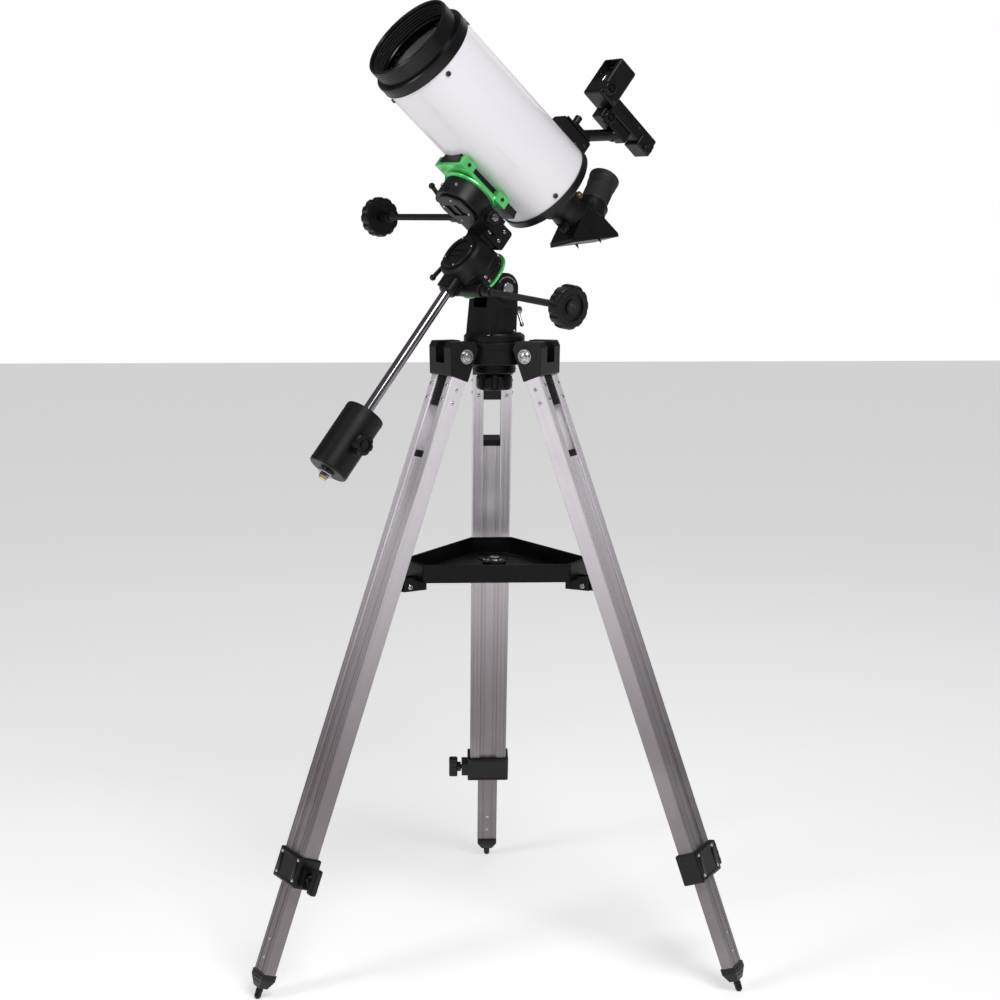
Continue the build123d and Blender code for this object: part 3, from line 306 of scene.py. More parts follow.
def lathe(bm, place, profile, steps=40):
    """Turns a closed profile of (radius, height) in millimetres about a place's Z."""
    part = bmesh.new()
    ring = [part.verts.new((r * MM, 0.0, h * MM)) for r, h in profile]
    edges = [part.edges.new(pair) for pair in zip(ring, ring[1:] + ring[:1])]
    bmesh.ops.spin(part, geom=ring + edges, cent=(0, 0, 0), axis=(0, 0, 1), angle=math.tau, steps=steps,
                   use_merge=True)
    bmesh.ops.remove_doubles(part, verts=part.verts, dist=1e-6)
    on_axis = [e for e in part.edges if not e.link_faces]
    bmesh.ops.delete(part, geom=on_axis, context="EDGES")
    add_part(bm, part, place)


def bar(bm, place, outline, low, high, edge=0.0):
    """An outline in the place's XY, in millimetres, raised between two heights, with softened edges."""
    part = bmesh.new()
    base = part.faces.new([part.verts.new((x * MM, y * MM, low * MM)) for x, y in outline])
    raised = bmesh.ops.extrude_face_region(part, geom=[base])
    top = [v for v in raised["geom"] if isinstance(v, bmesh.types.BMVert)]
    bmesh.ops.translate(part, verts=top, vec=(0, 0, (high - low) * MM))
    if edge:
        bmesh.ops.bevel(part, geom=part.edges[:], offset=edge * MM, offset_type="OFFSET",
                        affect="EDGES", segments=2, profile=0.5, material=-1)
    add_part(bm, part, place)


def ring_of(count, radius, start=0.0, stop=math.tau):
    """Angles and XY places round a circle, in millimetres."""
    for index in range(count):
        turn = start + (stop - start) * index / count
        yield turn, radius * math.cos(turn), radius * math.sin(turn)


def box_outline(wide, deep):
    return [(-wide / 2, -deep / 2), (wide / 2, -deep / 2), (wide / 2, deep / 2), (-wide / 2, deep / 2)]


def polygon(radius, sides, turn=0.0):
    return [(x, y) for _, x, y in ring_of(sides, radius, turn, turn + math.tau)]


def piece(name, bm, finish, body, sharp=32.0):
    """Makes the object, rides it on its body, and names the finish it takes."""
    for face in bm.faces:
        face.smooth = True
    for edge in bm.edges:
        if len(edge.link_faces) == 2 and edge.calc_face_angle(0.0) > math.radians(sharp):
            edge.smooth = False
    mesh = bpy.data.meshes.new(name)
    bm.to_mesh(mesh)
    bm.free()
    mesh.materials.append(finish)
    made = bpy.data.objects.new(name, mesh)
    bpy.context.collection.objects.link(made)
    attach(made, body)
    return made


def cap_screw(bm, place, radius, height, sink=0.4):
    """A domed head with a hexagon socket."""
    socket = radius * 0.5
    rim = [(socket, height * 0.35), (socket, height), (radius * 0.7, height * 0.96),
           (radius * 0.93, height * 0.62), (radius, height * 0.2), (radius, -sink), (0, -sink),
           (0, height * 0.35)]
    lathe(bm, place, rim, 24)


def cross_screw(bm, place, radius, height, sink=0.4):
    """A domed head with a crossed recess."""
    dome = [(0, height * 0.55), (radius * 0.24, height * 0.6), (radius * 0.26, height),
            (radius * 0.62, height * 0.92), (radius * 0.9, height * 0.55), (radius, height * 0.1),
            (radius, -sink), (0, -sink)]
    lathe(bm, place, dome, 20)
    for turn in (0.0, math.pi / 2):
        arm = place @ Matrix.Rotation(turn, 4, "Z")
        bar(bm, arm, box_outline(radius * 1.0, radius * 0.16), height * 0.9, height * 0.97)


def hex_nut(bm, place, radius, height, hole, sink=0.2):
    bar(bm, place, polygon(radius, 6), -sink, height, 0.35)
    washer, top = hole + 1.0, height + 0.35
    lathe(bm, place, [(hole, height), (washer, height), (washer, top), (hole, top)], 24)


def knurl(bm, place, radius, low, high, count, depth=0.5):
    """Fine ribs round a turned grip."""
    for turn, x, y in ring_of(count, radius):
        rib = place @ Matrix.Translation((x * MM, y * MM, 0)) @ Matrix.Rotation(turn, 4, "Z")
        half = math.tau * radius / count * 0.5 / 2
        flank = depth * 0.6
        bar(bm, rib, [(-0.3, -half), (flank, -half), (depth, 0), (flank, half), (-0.3, half)], low, high)


# ---------------------------------------------------------------- tube fittings
def radial(station, degrees, radius=TUBE_RADIUS):
    """A place on the tube's skin that faces outwards."""
    turn = math.radians(degrees)
    out = LATERAL * math.cos(turn) + DECLINATION * math.sin(turn)
    return facing(at(station, 0, OPTICAL_AXIS) + out * radius * MM, out, POLAR)


bm = bmesh.new()
for angle in (-21, 69, 159, 249):
    cap_screw(bm, radial(230.0, angle), 3.1, 2.0)
for angle in (-25, 65, 155, 245):
    cap_screw(bm, radial(31.0, angle), 3.1, 2.0)
piece("tube_screws", bm, DARK_STEEL, "optical_tube")

bm = bmesh.new()
ring_place = facing(at(0, 0, OPTICAL_AXIS), POLAR)
for low, high, radius in ((238.3, 239.4, 60.75), (23.6, 24.6, 60.75)):
    ring = [(radius - 0.9, low), (radius, low + 0.2), (radius, high - 0.2), (radius - 0.9, high)]
    lathe(bm, ring_place, ring, 96)
piece("tube_gaskets", bm, RUBBER, "optical_tube")

bm = bmesh.new()
for low in (246.0, 248.2):
    lathe(bm, ring_place, [(60.2, low), (60.75, low + 0.25), (60.75, low + 0.95), (60.2, low + 1.2)], 96)
for low in range(256, 269, 3):
    lathe(bm, ring_place, [(54.7, low), (55.3, low + 0.4), (55.3, low + 0.9), (54.7, low + 1.3)], 96)
lathe(bm, ring_place, [(51.0, 250.2), (48.2, 249.6), (47.9, 250.4), (48.4, 251.6), (51.0, 252.4)], 96)
piece("front_cell_beads", bm, CELL, "optical_tube")

bm = bmesh.new()
for radius, low in ((49.9, 253.0), (50.5, 256.0), (50.5, 259.0), (50.5, 262.0), (50.5, 265.0)):
    lathe(bm, ring_place, [(51.8, low), (radius, low + 0.5), (radius, low + 0.9), (51.8, low + 1.6)], 96)
piece("hood_light_baffles", bm, BAFFLE, "optical_tube")

bm = bmesh.new()
lathe(bm, ring_place, [(0, 228.9), (6.0, 229.0), (12.0, 229.7), (12.0, 229.45), (6.0, 228.7), (0, 228.6)], 48)
piece("secondary_spot", bm, MIRROR, "optical_tube")

bm = bmesh.new()
for turn, x, y in ring_of(3, 53.0, 0.5, 0.5 + math.tau):
    cross_screw(bm, facing(at(14.5, x, OPTICAL_AXIS + y), -POLAR), 2.6, 1.2)
back = facing(at(14.5, 0, OPTICAL_AXIS), -POLAR)
for radius in (30.0, 57.5):
    lathe(bm, back, [(radius, -0.3), (radius + 0.3, 0.45), (radius + 1.4, 0.45), (radius + 1.7, -0.3)], 96)
piece("rear_cell_trim", bm, CELL, "optical_tube")

bm = bmesh.new()
knurl(bm, facing(at(-35.0, 0, OPTICAL_AXIS), POLAR), 20.0, 0.0, 9.5, 72)
knurl(bm, facing(at(-9.0, 0, OPTICAL_AXIS), POLAR), 24.0, 8.0, 17.0, 84)
lathe(bm, facing(at(-12.5, 0, OPTICAL_AXIS), POLAR), [(22.9, 0), (24.2, 0.3), (24.2, 1.6), (22.9, 1.9)], 72)
piece("visual_back_grip", bm, PLASTIC, "optical_tube")

slant = (LATERAL * math.sin(math.radians(30)) - DECLINATION * math.cos(math.radians(30))).normalized()
bm = bmesh.new()
base = facing(at(-26.5, 0, OPTICAL_AXIS) + slant * 24.0 * MM, slant)
knurl(bm, base, 4.9, 0.8, 8.2, 22, 0.5)
lathe(bm, base, [(1.2, 8.9), (3.6, 9.0), (3.6, 9.3), (1.2, 9.6)], 24)
piece("visual_back_thumbscrew", bm, DARK_STEEL, "optical_tube")

# ---------------------------------------------------------------- diagonal and eyepiece
EYEPIECE = Vector(JOINTS["eyepiece_slide"]["axis"])
DIAGONAL_AT = at(-56.1, 0, OPTICAL_AXIS)
sideways = EYEPIECE.cross(POLAR).normalized()


def on_diagonal(a, side, height):
    return DIAGONAL_AT + (POLAR * a + sideways * side + EYEPIECE * height) * MM


bm = bmesh.new()
place = facing(on_diagonal(22.0, 0, 29.0), POLAR)
lathe(bm, place, [(0, 0), (4.6, 0), (5.3, 0.6), (5.3, 5.6), (4.6, 6.4), (0, 6.4)], 28)
knurl(bm, place, 5.1, 0.9, 5.4, 26, 0.4)
lathe(bm, facing(on_diagonal(18.5, 0, 29.0), POLAR), [(0, 0), (2.2, 0), (2.2, 4), (0, 4)], 20)
piece("diagonal_thumbscrew", bm, OLIVE, "diagonal")

bm = bmesh.new()
socket = facing(on_diagonal(0, 0, 20.5), EYEPIECE)
lathe(bm, socket, [(19.2, 2.0), (20.1, 2.4), (20.1, 4.2), (19.2, 4.6)], 64)
lathe(bm, socket, [(19.2, 13.0), (19.9, 13.3), (19.9, 14.8), (19.2, 15.1)], 64)
for side in (-1, 1):
    wall = facing(on_diagonal(0, side * 18.4, 0), sideways * side, POLAR)
    for a, h in ((14, 14), (14, -30), (-28, 14)):
        spot = facing(on_diagonal(a, side * 18.4, h), sideways * side, POLAR)
        cross_screw(bm, spot, 2.1, 0.9)
    flip = side
    tri = [(15.5, -11.0 * flip), (15.5, 26.0 * flip), (-21.5, -11.0 * flip)]
    tri = [(x, -y) for x, y in tri]
    bar(bm, wall, tri if side > 0 else tri[::-1], -0.2, 0.5, 0.18)
piece("diagonal_trim", bm, CELL, "diagonal")

bm = bmesh.new()
cup = facing(on_diagonal(0, 0, 36.0), EYEPIECE)
knurl(bm, cup, 16.4, 5.0, 24.0, 60, 0.55)
for low in (1.4, 26.0):
    lathe(bm, cup, [(16.2, low), (17.0, low + 0.4), (17.0, low + 1.6), (16.2, low + 2.0)], 64)
for low in (31.5, 34.0):
    lathe(bm, cup, [(17.2, low), (18.0, low + 0.6), (18.0, low + 1.2), (17.2, low + 1.8)], 64)
piece("eyepiece_grip", bm, RUBBER, "eyepiece")

bm = bmesh.new()
glass = [(0, 36.6), (4.0, 36.4), (8.8, 35.6), (8.8, 33.6), (4.0, 33.2), (0, 33.1)]
lathe(bm, cup, glass, 40)
piece("eyepiece_lens", bm, LENS, "eyepiece")

bm = bmesh.new()
lathe(bm, cup, [(16.4, 3.6), (16.8, 3.7), (16.8, 4.5), (16.4, 4.6)], 64)
piece("eyepiece_band", bm, CHROME, "eyepiece")

# ---------------------------------------------------------------- finder
FINDER_LOW = OPTICAL_AXIS + 128.0
bm = bmesh.new()
for a, b, size in ((13, FINDER_LOW + 7, 2.2), (-40, FINDER_LOW + 14, 1.8), (-62, FINDER_LOW + 2, 1.8)):
    side = 17.0 if a > 0 else (11.0 if a > -50 else 13.0)
    for way in (-1, 1):
        cross_screw(bm, facing(at(a, way * side, b), LATERAL * way, POLAR), size, 1.0)
for way in (-1, 1):
    cross_screw(bm, facing(at(12.0, way * 13.0, OPTICAL_AXIS + 68), LATERAL * way, POLAR), 2.2, 1.0)
piece("finder_screws", bm, DARK_STEEL, "optical_tube")

bm = bmesh.new()
shoe_top = facing(at(30, 0, OPTICAL_AXIS + 78), DECLINATION, POLAR)
for way in (-1, 1):
    rail = shoe_top @ Matrix.Translation((0, way * 11.2 * MM, 0))
    bar(bm, rail, box_outline(44, 2.2), -0.3, 1.8, 0.4)
for index in range(6):
    rib = facing(at(-26 + index * 3.2, 11.0, FINDER_LOW + 9), LATERAL, POLAR)
    bar(bm, rib, box_outline(1.5, 12.0), -0.2, 0.8, 0.25)
    rib = facing(at(-26 + index * 3.2, -11.0, FINDER_LOW + 9), -LATERAL, POLAR)
    bar(bm, rib, box_outline(1.5, 12.0), -0.2, 0.8, 0.25)
frame_top = facing(at(23, 0, FINDER_LOW + 56), DECLINATION, POLAR)
bar(bm, frame_top, box_outline(22, 24), -0.3, 0.7, 0.3)
seam = facing(at(-72, 0, FINDER_LOW + 9), -POLAR, LATERAL)
bar(bm, seam, box_outline(18, 9), -0.2, 0.9, 0.35)
piece("finder_trim", bm, PLASTIC, "optical_tube")

bm = bmesh.new()
knob_end = facing(at(-64, 13.0, FINDER_LOW + 2), LATERAL, POLAR)
lathe(bm, knob_end, [(0, -0.3), (6.0, -0.3), (6.0, 2.4), (5.4, 3.0), (1.2, 3.0), (0, 2.6)], 40)
knurl(bm, knob_end, 5.9, 0.3, 2.3, 30, 0.4)
piece("finder_switch", bm, PLASTIC, "optical_tube")

bm = bmesh.new()
lamp = facing(at(-46, 0, FINDER_LOW + 20), DECLINATION)
lathe(bm, lamp, [(0, -0.2), (1.6, -0.2), (1.6, 0.5), (0.9, 0.9), (0, 1.0)], 24)
piece("finder_lamp", bm, LED, "optical_tube")

bm = bmesh.new()
for a, side, b in ((32, 17.0, FINDER_LOW + 12), (6, 9.0, FINDER_LOW - 10)):
    number = 1 if a == 32 else 2
    face = facing(at(a, side + 9.3 - 1.9, b), LATERAL)
    lathe(bm, face, [(0, -0.1), (2.6, -0.1), (2.6, 0.8), (2.0, 1.4), (0, 1.4)], 24)
    piece(f"finder_adjuster_pin_{number}", bm, DARK_STEEL, f"finder_adjuster_{number}")
    bm = bmesh.new()
bm.free()

# ---------------------------------------------------------------- mount fittings
bm = bmesh.new()
hex_nut(bm, facing(at(56.0, 17.0, 50.0), LATERAL, POLAR), 4.6, 3.2, 2.1)
piece("link_brass_nut", bm, BRASS, "polar_head")

bm = bmesh.new()
for a, c, b, radius in ((40.0, 17.0, 38.0, 2.6), (40.0, 17.0, 51.0, 2.6), (56.0, 17.0, 38.5, 3.4)):
    cross_screw(bm, facing(at(a, c, b), LATERAL, POLAR), radius, 1.5)
    cross_screw(bm, facing(at(a, -c, b), -LATERAL, POLAR), radius, 1.5)
piece("link_screws", bm, CHROME, "polar_head")

bm = bmesh.new()
for turn, x, y in ring_of(4, 20.6, math.pi / 8, math.pi / 8 + math.tau):
    cross_screw(bm, facing(at(67.6 - 0.7, x, y), POLAR), 1.5, 0.9)
for turn, x, y in ring_of(4, 18.4, 0.4, 0.4 + math.tau):
    cross_screw(bm, facing(at(98 + x, y, 34.0), -DECLINATION), 1.6, 0.9)
piece("cap_screws", bm, STEEL, "polar_head")

bm = bmesh.new()
for radius, low in ((29.85, 44.0), (29.85, 58.0)):
    crown = radius + 0.45
    bead = [(radius, low), (crown, low + 0.3), (crown, low + 0.9), (radius, low + 1.2)]
    lathe(bm, facing(at(0, 0, 0), POLAR), bead, 90)
lathe(bm, facing(at(98, 0, 0), DECLINATION), [(29.8, 56.2), (30.4, 56.5), (30.4, 57.3), (29.8, 57.6)], 90)
bar_root = facing(at(49.5, 0, -45.6), -DECLINATION)
lathe(bm, bar_root, [(6.2, -0.2), (10.0, -0.2), (9.4, 1.0), (7.4, 1.5), (6.2, 1.5)], 48)
piece("polar_head_beads", bm, CAST, "polar_head")

bm = bmesh.new()
for turn, x, y in ring_of(60, 32.95):
    reach = 1.3 if round(turn / math.tau * 60) % 5 else 2.1
    out = LATERAL * math.cos(turn) + DECLINATION * math.sin(turn)
    mark = facing(at(21.1 + reach / 2, x, y), out, POLAR)
    bar(bm, mark, box_outline(reach, 0.32), -0.1, 0.09)
piece("ra_circle_scale", bm, WHITE_INK, "ra_circle")

bm = bmesh.new()
for turn, x, y in ring_of(60, 32.95):
    reach = 1.3 if round(turn / math.tau * 60) % 5 else 2.1
    out = POLAR * math.cos(turn) + LATERAL * math.sin(turn)
    mark = facing(at(98 + x, y, 61.7 + reach / 2), out, DECLINATION)
    bar(bm, mark, box_outline(reach, 0.32), -0.1, 0.09)
piece("dec_circle_scale", bm, WHITE_INK, "dec_circle")

bm = bmesh.new()
across, along = math.cos(0.5), math.sin(0.5)
pointer = facing(at(24.4, 30.0 * across, 30.0 * along), LATERAL * across + DECLINATION * along, POLAR)
bar(bm, pointer, [(-0.5, 0), (1.6, -1.1), (5.0, -1.1), (5.0, 1.1), (1.6, 1.1)], -0.3, 0.8, 0.2)
piece("ra_pointer", bm, CHROME, "polar_base")

bm = bmesh.new()
shell = facing(at(0, 0, 0), POLAR)
lathe(bm, shell, [(29.8, 29.5), (30.45, 29.8), (30.45, 30.6), (29.8, 30.9)], 90)
lathe(bm, shell, [(12.0, 8.0), (14.4, 8.3), (14.4, 17.5), (13.6, 18.6), (12.0, 18.6)], 64)
tunnel = facing(at(31.4, 36.0, -28.0), LATERAL)
lathe(bm, tunnel, [(4.7, -0.3), (7.4, -0.3), (7.0, 1.0), (5.2, 1.0)], 40)
piece("ra_housing_trim", bm, CAST, "polar_base")

bm = bmesh.new()
for a, turn in ((27, -0.35), (34, -0.35), (30.5, 0.9)):
    c, b = 29.95 * math.cos(turn), 29.95 * math.sin(turn)
    out = (LATERAL * c + DECLINATION * b).normalized()
    cap_screw(bm, facing(at(a, c, b), out, POLAR), 2.2, 1.5)
hex_nut(bm, facing(at(31.4, -32.0, -28.0), -LATERAL, POLAR), 5.0, 2.6, 2.2)
piece("ra_housing_screws", bm, CHROME, "polar_base")

bm = bmesh.new()
hex_nut(bm, facing(at(70.0, 32.0, 47.5), LATERAL, POLAR), 5.0, 2.6, 2.2)
for turn in (0.5, -0.5):
    out = POLAR * math.cos(turn) + LATERAL * math.sin(turn)
    cap_screw(bm, facing(at(98, 0, 50) + out * 30.0 * MM, out, DECLINATION), 2.2, 1.5)
for c in (-18, 18):
    cross_screw(bm, facing(at(58, c, 58.0), DECLINATION, POLAR), 2.2, 1.1)
piece("dec_housing_screws", bm, CHROME, "polar_head")

# ridged sleeves of the flexible slow-motion shafts
for joint, body, node in (("ra_knob_turn", "ra_knob", "ra_knob"),
                          ("dec_slow_motion_turn", "dec_slow_motion", "dec_knob")):
    axis = Vector(JOINTS[joint]["axis"])
    knob = Vector(JOINTS[joint]["pos_m"])
    if joint == "ra_knob_turn":
        start = at(31.4, 38.5, -28.0)
    else:
        start = at(70.0, -38.5, 47.5)
        knob = at(70.0, -210.0, 47.5)
    axis = (knob - start).normalized()
    length = (knob - start).length / MM
    shaft = facing(start, axis)
    bm = bmesh.new()
    low = 14.0
    while low < length - 27.0:
        lathe(bm, shaft, [(3.5, low), (3.95, low + 0.35), (3.95, low + 0.95), (3.5, low + 1.3)], 28)
        low += 2.1
    piece(f"{node}_sleeve", bm, RUBBER, body)
    bm = bmesh.new()
    sideways = shaft @ Matrix.Rotation(math.pi / 2, 4, "Y")
    cap_screw(bm, sideways @ Matrix.Translation((-6.0 * MM, 0, 5.8 * MM)), 1.7, 0.8)
    lathe(bm, shaft, [(5.8, 2.0), (6.2, 2.2), (6.2, 3.4), (5.8, 3.6)], 40)
    face = shaft @ Matrix.Translation((0, 0, (length + 7.5) * MM))
    lathe(bm, face, [(0, -2.1), (5.2, -2.1), (5.2, -0.4), (4.6, 0.2), (1.5, 0.2), (0, -0.3)], 40)
    piece(f"{node}_fittings", bm, DARK_STEEL, body)
    bm = bmesh.new()
    for radius in (9.2, 12.4):
        lathe(bm, face, [(radius, -2.2), (radius, -1.5), (radius + 0.8, -1.5), (radius + 0.8, -2.2)], 56)
    lathe(bm, face, [(15.6, -0.4), (16.0, 0.25), (17.4, 0.25), (17.8, -0.4)], 64)
    piece(f"{node}_face", bm, PLASTIC, body)

# ---------------------------------------------------------------- counterweight
bm = bmesh.new()
bar_line = facing(at(49.5, 0, 0), DECLINATION)
for low in (-294.0, -224.4):
    lathe(bm, bar_line, [(23.2, low), (23.75, low + 0.4), (23.75, low + 1.6), (23.2, low + 2.0)], 80)
for low, way in ((-298.0, -1), (-218.0, 1)):
    foot, top = low - 0.2 * way, low + 0.5 * way
    lathe(bm, bar_line, [(6.3, foot), (9.2, foot), (9.0, top), (6.3, top)], 48)
piece("counterweight_beads", bm, CAST, "counterweight")

bm = bmesh.new()
end = facing(at(49.5, 0, -307.4), -DECLINATION)
lathe(bm, end, [(0, -0.2), (4.6, -0.2), (4.6, 1.3), (4.0, 2.0), (0, 2.0)], 36)
knurl(bm, end, 4.5, 0.1, 1.4, 28, 0.3)
piece("bar_end_screw", bm, BRASS, "polar_head")

bm = bmesh.new()
pin = facing(at(49.5, 34.0, -258.0), LATERAL)
lathe(bm, pin, [(0, -0.4), (3.2, -0.4), (3.2, 1.9), (2.6, 2.4), (0, 2.4)], 32)
piece("counterweight_knob_pin", bm, DARK_STEEL, "counterweight_knob")

# ---------------------------------------------------------------- saddle
bm = bmesh.new()
for a in (71.0, 131.0):
    cap_screw(bm, facing(at(a, 20.0, 78.0), DECLINATION, POLAR), 2.5, 1.4)
    cap_screw(bm, facing(at(a, -20.0, 78.0), DECLINATION, POLAR), 2.5, 1.4)
for a in (71.0, 131.0):
    cap_screw(bm, facing(at(a, 26.5, 72.5), LATERAL, POLAR), 2.4, 1.4)
piece("saddle_screws", bm, DARK_STEEL, "saddle")

# ---------------------------------------------------------------- column
bm = bmesh.new()
for turn, x, y in ring_of(19, 13.2, math.radians(30), math.radians(150)):
    reach = 1.2 if round(math.degrees(turn)) % 4 else 2.0
    direction = SOUTH * math.cos(turn) + UP * math.sin(turn)
    mark = facing(on_column(x, 25.2, y), LATERAL, direction)
    bar(bm, mark, box_outline(reach, 0.35), -0.1, 0.12)
piece("latitude_scale", bm, WHITE_INK, "mount_base")

bm = bmesh.new()
flange_low = -61.6
flange = facing(on_column(0, 0, flange_low), UP)
for low in (2.0, 4.6):
    lathe(bm, flange, [(35.3, low), (35.95, low + 0.25), (35.95, low + 0.95), (35.3, low + 1.2)], 96)
lathe(bm, flange, [(24.0, 7.8), (31.0, 7.8), (30.2, 9.4), (24.0, 9.4)], 96)
for way in (-1, 1):
    side = facing(on_column(-2, way * 24.0, -34), LATERAL * way, UP)
    bar(bm, side, [(-20, -15), (10, -9), (10, 9), (-20, 15)], -0.3, 0.7, 0.3)
    hub = facing(on_column(0, way * (25.2 if way > 0 else 24.0), 0), LATERAL * way)
    lathe(bm, hub, [(14.4, -0.2), (14.7, 0.5), (15.6, 0.5), (15.9, -0.2)], 72)
piece("column_trim", bm, CAST, "mount_base")

bm = bmesh.new()
for turn, x, y in ring_of(3, 31.5, 0.3, 0.3 + math.tau):
    cap_screw(bm, facing(on_column(x, y, flange_low + 7.9), UP), 2.2, 1.5)
boss = facing(on_column(19.0, 0, -27.0), SOUTH)
lathe(bm, boss, [(3.2, -3.0), (5.4, -3.0), (5.4, 0.4), (4.8, 1.0), (3.2, 1.0)], 32)
cross_screw(bm, facing(on_column(12.0, 24.0, -50.0), LATERAL, UP), 2.6, 1.4)
piece("column_screws", bm, CHROME, "mount_base")

# ---------------------------------------------------------------- tripod


def leg_axes(number):
    """The leg's hinge, its direction down, across it, and away from the tripod's middle."""
    hinge = Vector(JOINTS[f"leg_fold_{number}"]["pos_m"])
    down = Vector(JOINTS[f"leg_slide_{number}"]["axis"])
    across = Vector(JOINTS[f"leg_fold_{number}"]["axis"])
    out = (hinge - AZIMUTH) * Vector((1, 1, 0))
    normal = (out - down * out.dot(down)).normalized()
    return hinge, down, across, normal


HALF_LEG = 9.75
for n in LEGS:
    hinge, down, across, normal = leg_axes(n)

    def on_leg(side, out, below):
        return hinge + (across * side + normal * out + down * below) * MM

    bm = bmesh.new()
    for side in (-17.2, 17.2):
        for below in (38.0, 55.0):
            cross_screw(bm, facing(on_leg(side, HALF_LEG, below), normal, down), 2.5, 1.5)
            cross_screw(bm, facing(on_leg(side, -HALF_LEG, below), -normal, down), 2.5, 1.5)
    for way in (-1, 1):
        for below in (40.0, 56.0):
            cross_screw(bm, facing(on_leg(way * 24.0, 0, below), across * way, down), 2.3, 1.3)
    piece(f"rail_screws_{n}", bm, STEEL, f"leg_{n}")

    bm = bmesh.new()
    for side in (-19.0, 19.0):
        bar(bm, facing(on_leg(side, 12.9, 616.0), normal, down), box_outline(20, 6.0), -0.3, 0.9, 0.4)
    for out in (-1, 1):
        band = facing(on_leg(0, out * 13.15, 616.0), normal * out, down)
        for offset in (-14.5, 14.5):
            bar(bm, band @ Matrix.Translation((offset * MM, 0, 0)), box_outline(1.6, 44), -0.3, 0.7, 0.3)
    insert = facing(on_leg(0, 7.4, 46.0), normal, down)
    for offset in (-9, 0, 9):
        bar(bm, insert @ Matrix.Translation((offset * MM, 0, 0)), box_outline(1.6, 18), -0.2, 0.8, 0.3)
    for way in (-1, 1):
        cheek = facing(on_leg(way * 24.0, 4.0, 0), across * way, down)
        lathe(bm, cheek, [(9.4, -0.3), (9.8, 0.55), (11.2, 0.55), (11.6, -0.3)], 48)
    piece(f"casting_ribs_{n}", bm, PLASTIC, f"leg_{n}")

    bm = bmesh.new()
    for side in (-20.0, 20.0):
        cross_screw(bm, facing(on_leg(side, 13.15, 603.0), normal, down), 2.2, 1.3)
        cross_screw(bm, facing(on_leg(side, 13.15, 627.0), normal, down), 2.2, 1.3)
    piece(f"clamp_screws_{n}", bm, STEEL, f"leg_{n}")

    bm = bmesh.new()
    for below in (742.0, 746.0, 750.0):
        for out in (-1, 1):
            wide = 25.0 - (below - 739.0) * 0.5
            depth = 9.0 - max(0.0, (below - 745.0) * 0.32)
            rib = facing(on_leg(0, out * depth, below), normal * out, down)
            bar(bm, rib, box_outline(1.5, wide * 0.8), -0.5, 0.7, 0.25)
    toe = facing(on_leg(0, 0, 757.5), -down)
    lathe(bm, toe, [(3.8, 0), (4.7, 0.5), (4.7, 1.5), (3.8, 2.0)], 32)
    lathe(bm, toe, [(3.8, -4.0), (4.4, -3.5), (4.4, -2.8), (3.8, -2.3)], 32)
    piece(f"foot_ribs_{n}", bm, RUBBER, f"lower_leg_{n}")

    bm = bmesh.new()
    for below in (700.0, 722.0):
        for out in (-1, 1):
            cross_screw(bm, facing(on_leg(0, out * 7.5, below), normal * out, down), 1.9, 0.5)
    piece(f"foot_screws_{n}", bm, STEEL, f"lower_leg_{n}")

    bm = bmesh.new()
    for way in (-1, 1):
        cap_screw(bm, facing(on_leg(way * 27.8, 0, 0), across * way, down), 4.6, 1.6)
        washer = facing(on_leg(way * 24.3, 0, 0), across * way)
        lathe(bm, washer, [(6.4, 0.1), (8.4, 0.1), (8.4, 0.9), (6.4, 0.9)], 40)
    piece(f"pivot_bolt_caps_{n}", bm, STEEL, "root")

    knob = Vector(JOINTS[f"clamp_screw_{n}_turn"]["pos_m"])
    axis = Vector(JOINTS[f"clamp_screw_{n}_turn"]["axis"])
    bm = bmesh.new()
    for low in (-9, 0, 9):
        for way in (-1, 1):
            place = knob + axis * 11.2 * MM + down * low * MM + normal * way * 4.0 * MM
            grip = facing(place, normal * way, down)
            bar(bm, grip, box_outline(1.6, 8.0), -0.3, 0.6, 0.25)
    piece(f"clamp_knob_grip_{n}", bm, PLASTIC, f"clamp_screw_{n}")

# tray: anti-slip ribs on its floor, a bead round the rim, and the middle bolt
TRAY_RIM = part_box("tray")[1][2]
middle = Vector((AZIMUTH.x, AZIMUTH.y, TRAY_RIM))
TRAY_FLOOR = TRAY_RIM / MM - 17.5


def tray_edge(reach, in_radius):
    """The tray's outline, a triangle with cut corners, in millimetres from its middle."""
    across = (in_radius - reach * 0.5) / math.sin(math.radians(60))
    points = []
    for azimuth in (90, 210, 330):
        turn = math.radians(azimuth)
        for way in (-1, 1):
            points.append(Vector((reach * math.cos(turn) - way * across * math.sin(turn),
                                  reach * math.sin(turn) + way * across * math.cos(turn), 0)))
    return points


def edge_bead(bm, outline, height, wide, tall):
    """A rounded bead that follows an outline at a height."""
    count = len(outline)
    rows = []
    for index, point in enumerate(outline):
        after = (outline[(index + 1) % count] - point).normalized()
        before = (point - outline[index - 1]).normalized()
        out = (after + before).normalized().cross(UP) / max(0.5, math.cos(after.angle(before) / 2))
        side, flat, shoulder = wide / 2, wide / 4, tall * 0.6
        section = [(-side, -0.4), (-side, shoulder), (-flat, tall),
                   (flat, tall), (side, shoulder), (side, -0.4)]
        places = [middle + (point + out * x) * MM + UP * (height + z) * MM for x, z in section]
        rows.append([bm.verts.new(place) for place in places])
    for first, second in zip(rows, rows[1:] + rows[:1]):
        for index in range(len(first)):
            after = (index + 1) % len(first)
            bm.faces.new((first[index], second[index], second[after], first[after]))


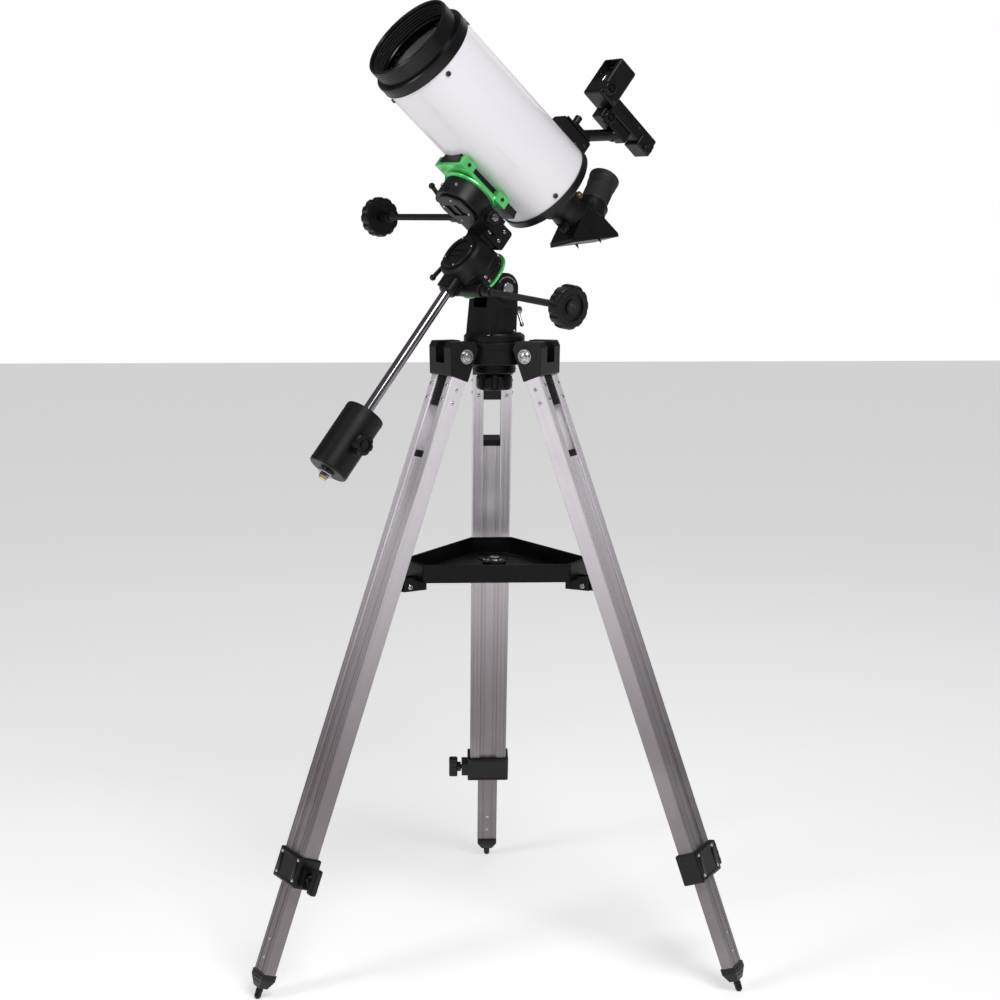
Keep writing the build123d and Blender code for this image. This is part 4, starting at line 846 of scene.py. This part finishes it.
bm = bmesh.new()
edge_bead(bm, tray_edge(110.0, 76.6), 0.0, 2.6, 0.9)
edge_bead(bm, tray_edge(101.0, 67.0), -17.6, 1.4, 0.8)
for turn, x, y in ring_of(3, 112 * 0.56, math.pi / 2, math.pi / 2 + math.tau):
    hole = facing(Vector((AZIMUTH.x + x * MM, AZIMUTH.y + y * MM, TRAY_FLOOR * MM)), UP)
    lathe(bm, hole, [(16.5, -0.3), (16.5, 0.9), (18.0, 0.9), (18.4, -0.3)], 56)
piece("tray_beads", bm, TRAY_PLASTIC, "tray")

bm = bmesh.new()
centre = facing(Vector((AZIMUTH.x, AZIMUTH.y, TRAY_RIM - 0.008)), UP)
lathe(bm, centre, [(4.2, -0.2), (9.5, -0.2), (9.5, 0.8), (4.2, 0.8)], 40)
hex_nut(bm, centre, 6.8, 4.4, 2.4, -0.8)
piece("tray_bolt", bm, STEEL, "tray")

bm = bmesh.new()
for turn, x, y in ring_of(3, 128.0, math.pi / 2, math.pi / 2 + math.tau):
    out = Vector((math.cos(turn), math.sin(turn), 0))
    side = out.cross(UP)
    place = Vector((AZIMUTH.x, AZIMUTH.y, 0)) + out * 120.0 * MM + UP * (TRAY_RIM - 0.0265)
    for way in (-1, 1):
        cap_screw(bm, facing(place + side * way * 8.0 * MM, side * way), 3.4, 1.8)
piece("tray_tab_bolts", bm, CHROME, "tray")

# head: ring line under the hub and a ribbed knob face
bm = bmesh.new()
head = facing(Vector((AZIMUTH.x, AZIMUTH.y, AZIMUTH.z)), UP)
lathe(bm, head, [(37.8, -9.0), (38.5, -8.7), (38.5, -7.6), (37.8, -7.3)], 96)
lathe(bm, head, [(24.8, -33.0), (25.6, -32.7), (25.6, -31.8), (24.8, -31.5)], 80)
piece("head_beads", bm, CAST, "root")

bm = bmesh.new()
under = facing(Vector((AZIMUTH.x, AZIMUTH.y, AZIMUTH.z - 0.0565)), -UP)
lathe(bm, under, [(0, -1.9), (4.8, -1.9), (4.8, -0.2), (4.2, 0.3), (1.5, 0.3), (0, -0.3)], 36)
piece("head_knob_pin", bm, STEEL, "head_lock")

# ---------------------------------------------------------------- studio and camera
bm = bmesh.new()
bmesh.ops.create_grid(bm, x_segments=8, y_segments=8, size=9.0)
floor_mesh = bpy.data.meshes.new("studio_floor")
bm.to_mesh(floor_mesh)
bm.free()
floor = bpy.data.objects.new("studio_floor", floor_mesh)
bpy.context.collection.objects.link(floor)


def paper(place):
    cloud = place.noise(2.0)
    return {"Base Color": cloud.blend(grey(0.90), grey(0.93)), "Roughness": 0.75 + (cloud - 0.5) * 0.1,
            "Emission Color": grey(1.0), "Emission Strength": 0.5, "height": (place.noise(500.0), 0.00004)}


floor_mesh.materials.append(material("studio_paper", paper))


def softbox(name, place, target, size, power, tint=(1.0, 1.0, 1.0)):
    light = bpy.data.lights.new(name, "AREA")
    light.shape = "RECTANGLE"
    light.size, light.size_y = size
    light.energy = power
    light.color = tint
    made = bpy.data.objects.new(name, light)
    made.location = place
    made.rotation_euler = (Vector(target) - Vector(place)).to_track_quat("-Z", "Y").to_euler()
    bpy.context.collection.objects.link(made)


CHEST_HEIGHT = 0.95       # where the softboxes aim, in metres
chest = (AZIMUTH.x, AZIMUTH.y, CHEST_HEIGHT)
softbox("key_softbox", (0.45, -1.25, 2.0), chest, (0.9, 0.7), 20.5, (1.0, 0.975, 1.0))
softbox("left_softbox", (-1.4, -0.9, 1.35), chest, (0.4, 1.1), 8.0, (1.0, 0.965, 1.0))
softbox("rim_softbox", (0.7, 1.7, 1.9), chest, (1.4, 0.8), 2.5)

# the studio's walls light the object softly, and the camera sees them as plain white
world = bpy.data.worlds.new("studio_world")
world.use_nodes = True
room = world.node_tree
seen = room.nodes.new("ShaderNodeLightPath")
WALL_LIGHT, WALL_SEEN = 0.15, 1.0
strength = Wire(room, seen.outputs["Is Camera Ray"]).ramp(0.0, 1.0, WALL_LIGHT, WALL_SEEN)
room.nodes["Background"].inputs["Color"].default_value = (1.0, 0.985, 1.0, 1.0)
plug(room, room.nodes["Background"].inputs["Strength"], strength)
bpy.context.scene.world = world
bpy.context.scene.view_settings.view_transform = "Standard"

camera = bpy.data.objects.new("camera", bpy.data.cameras.new("camera"))
camera.data.lens = 67.4
camera.data.sensor_width = 36.0
camera.data.clip_end = 60.0
camera.location = (AZIMUTH.x - 0.0767, AZIMUTH.y - 2.1947, 0.886)
camera.rotation_euler = (math.pi / 2 - 0.152, 0.0, -0.038)
bpy.context.collection.objects.link(camera)
bpy.context.scene.camera = camera
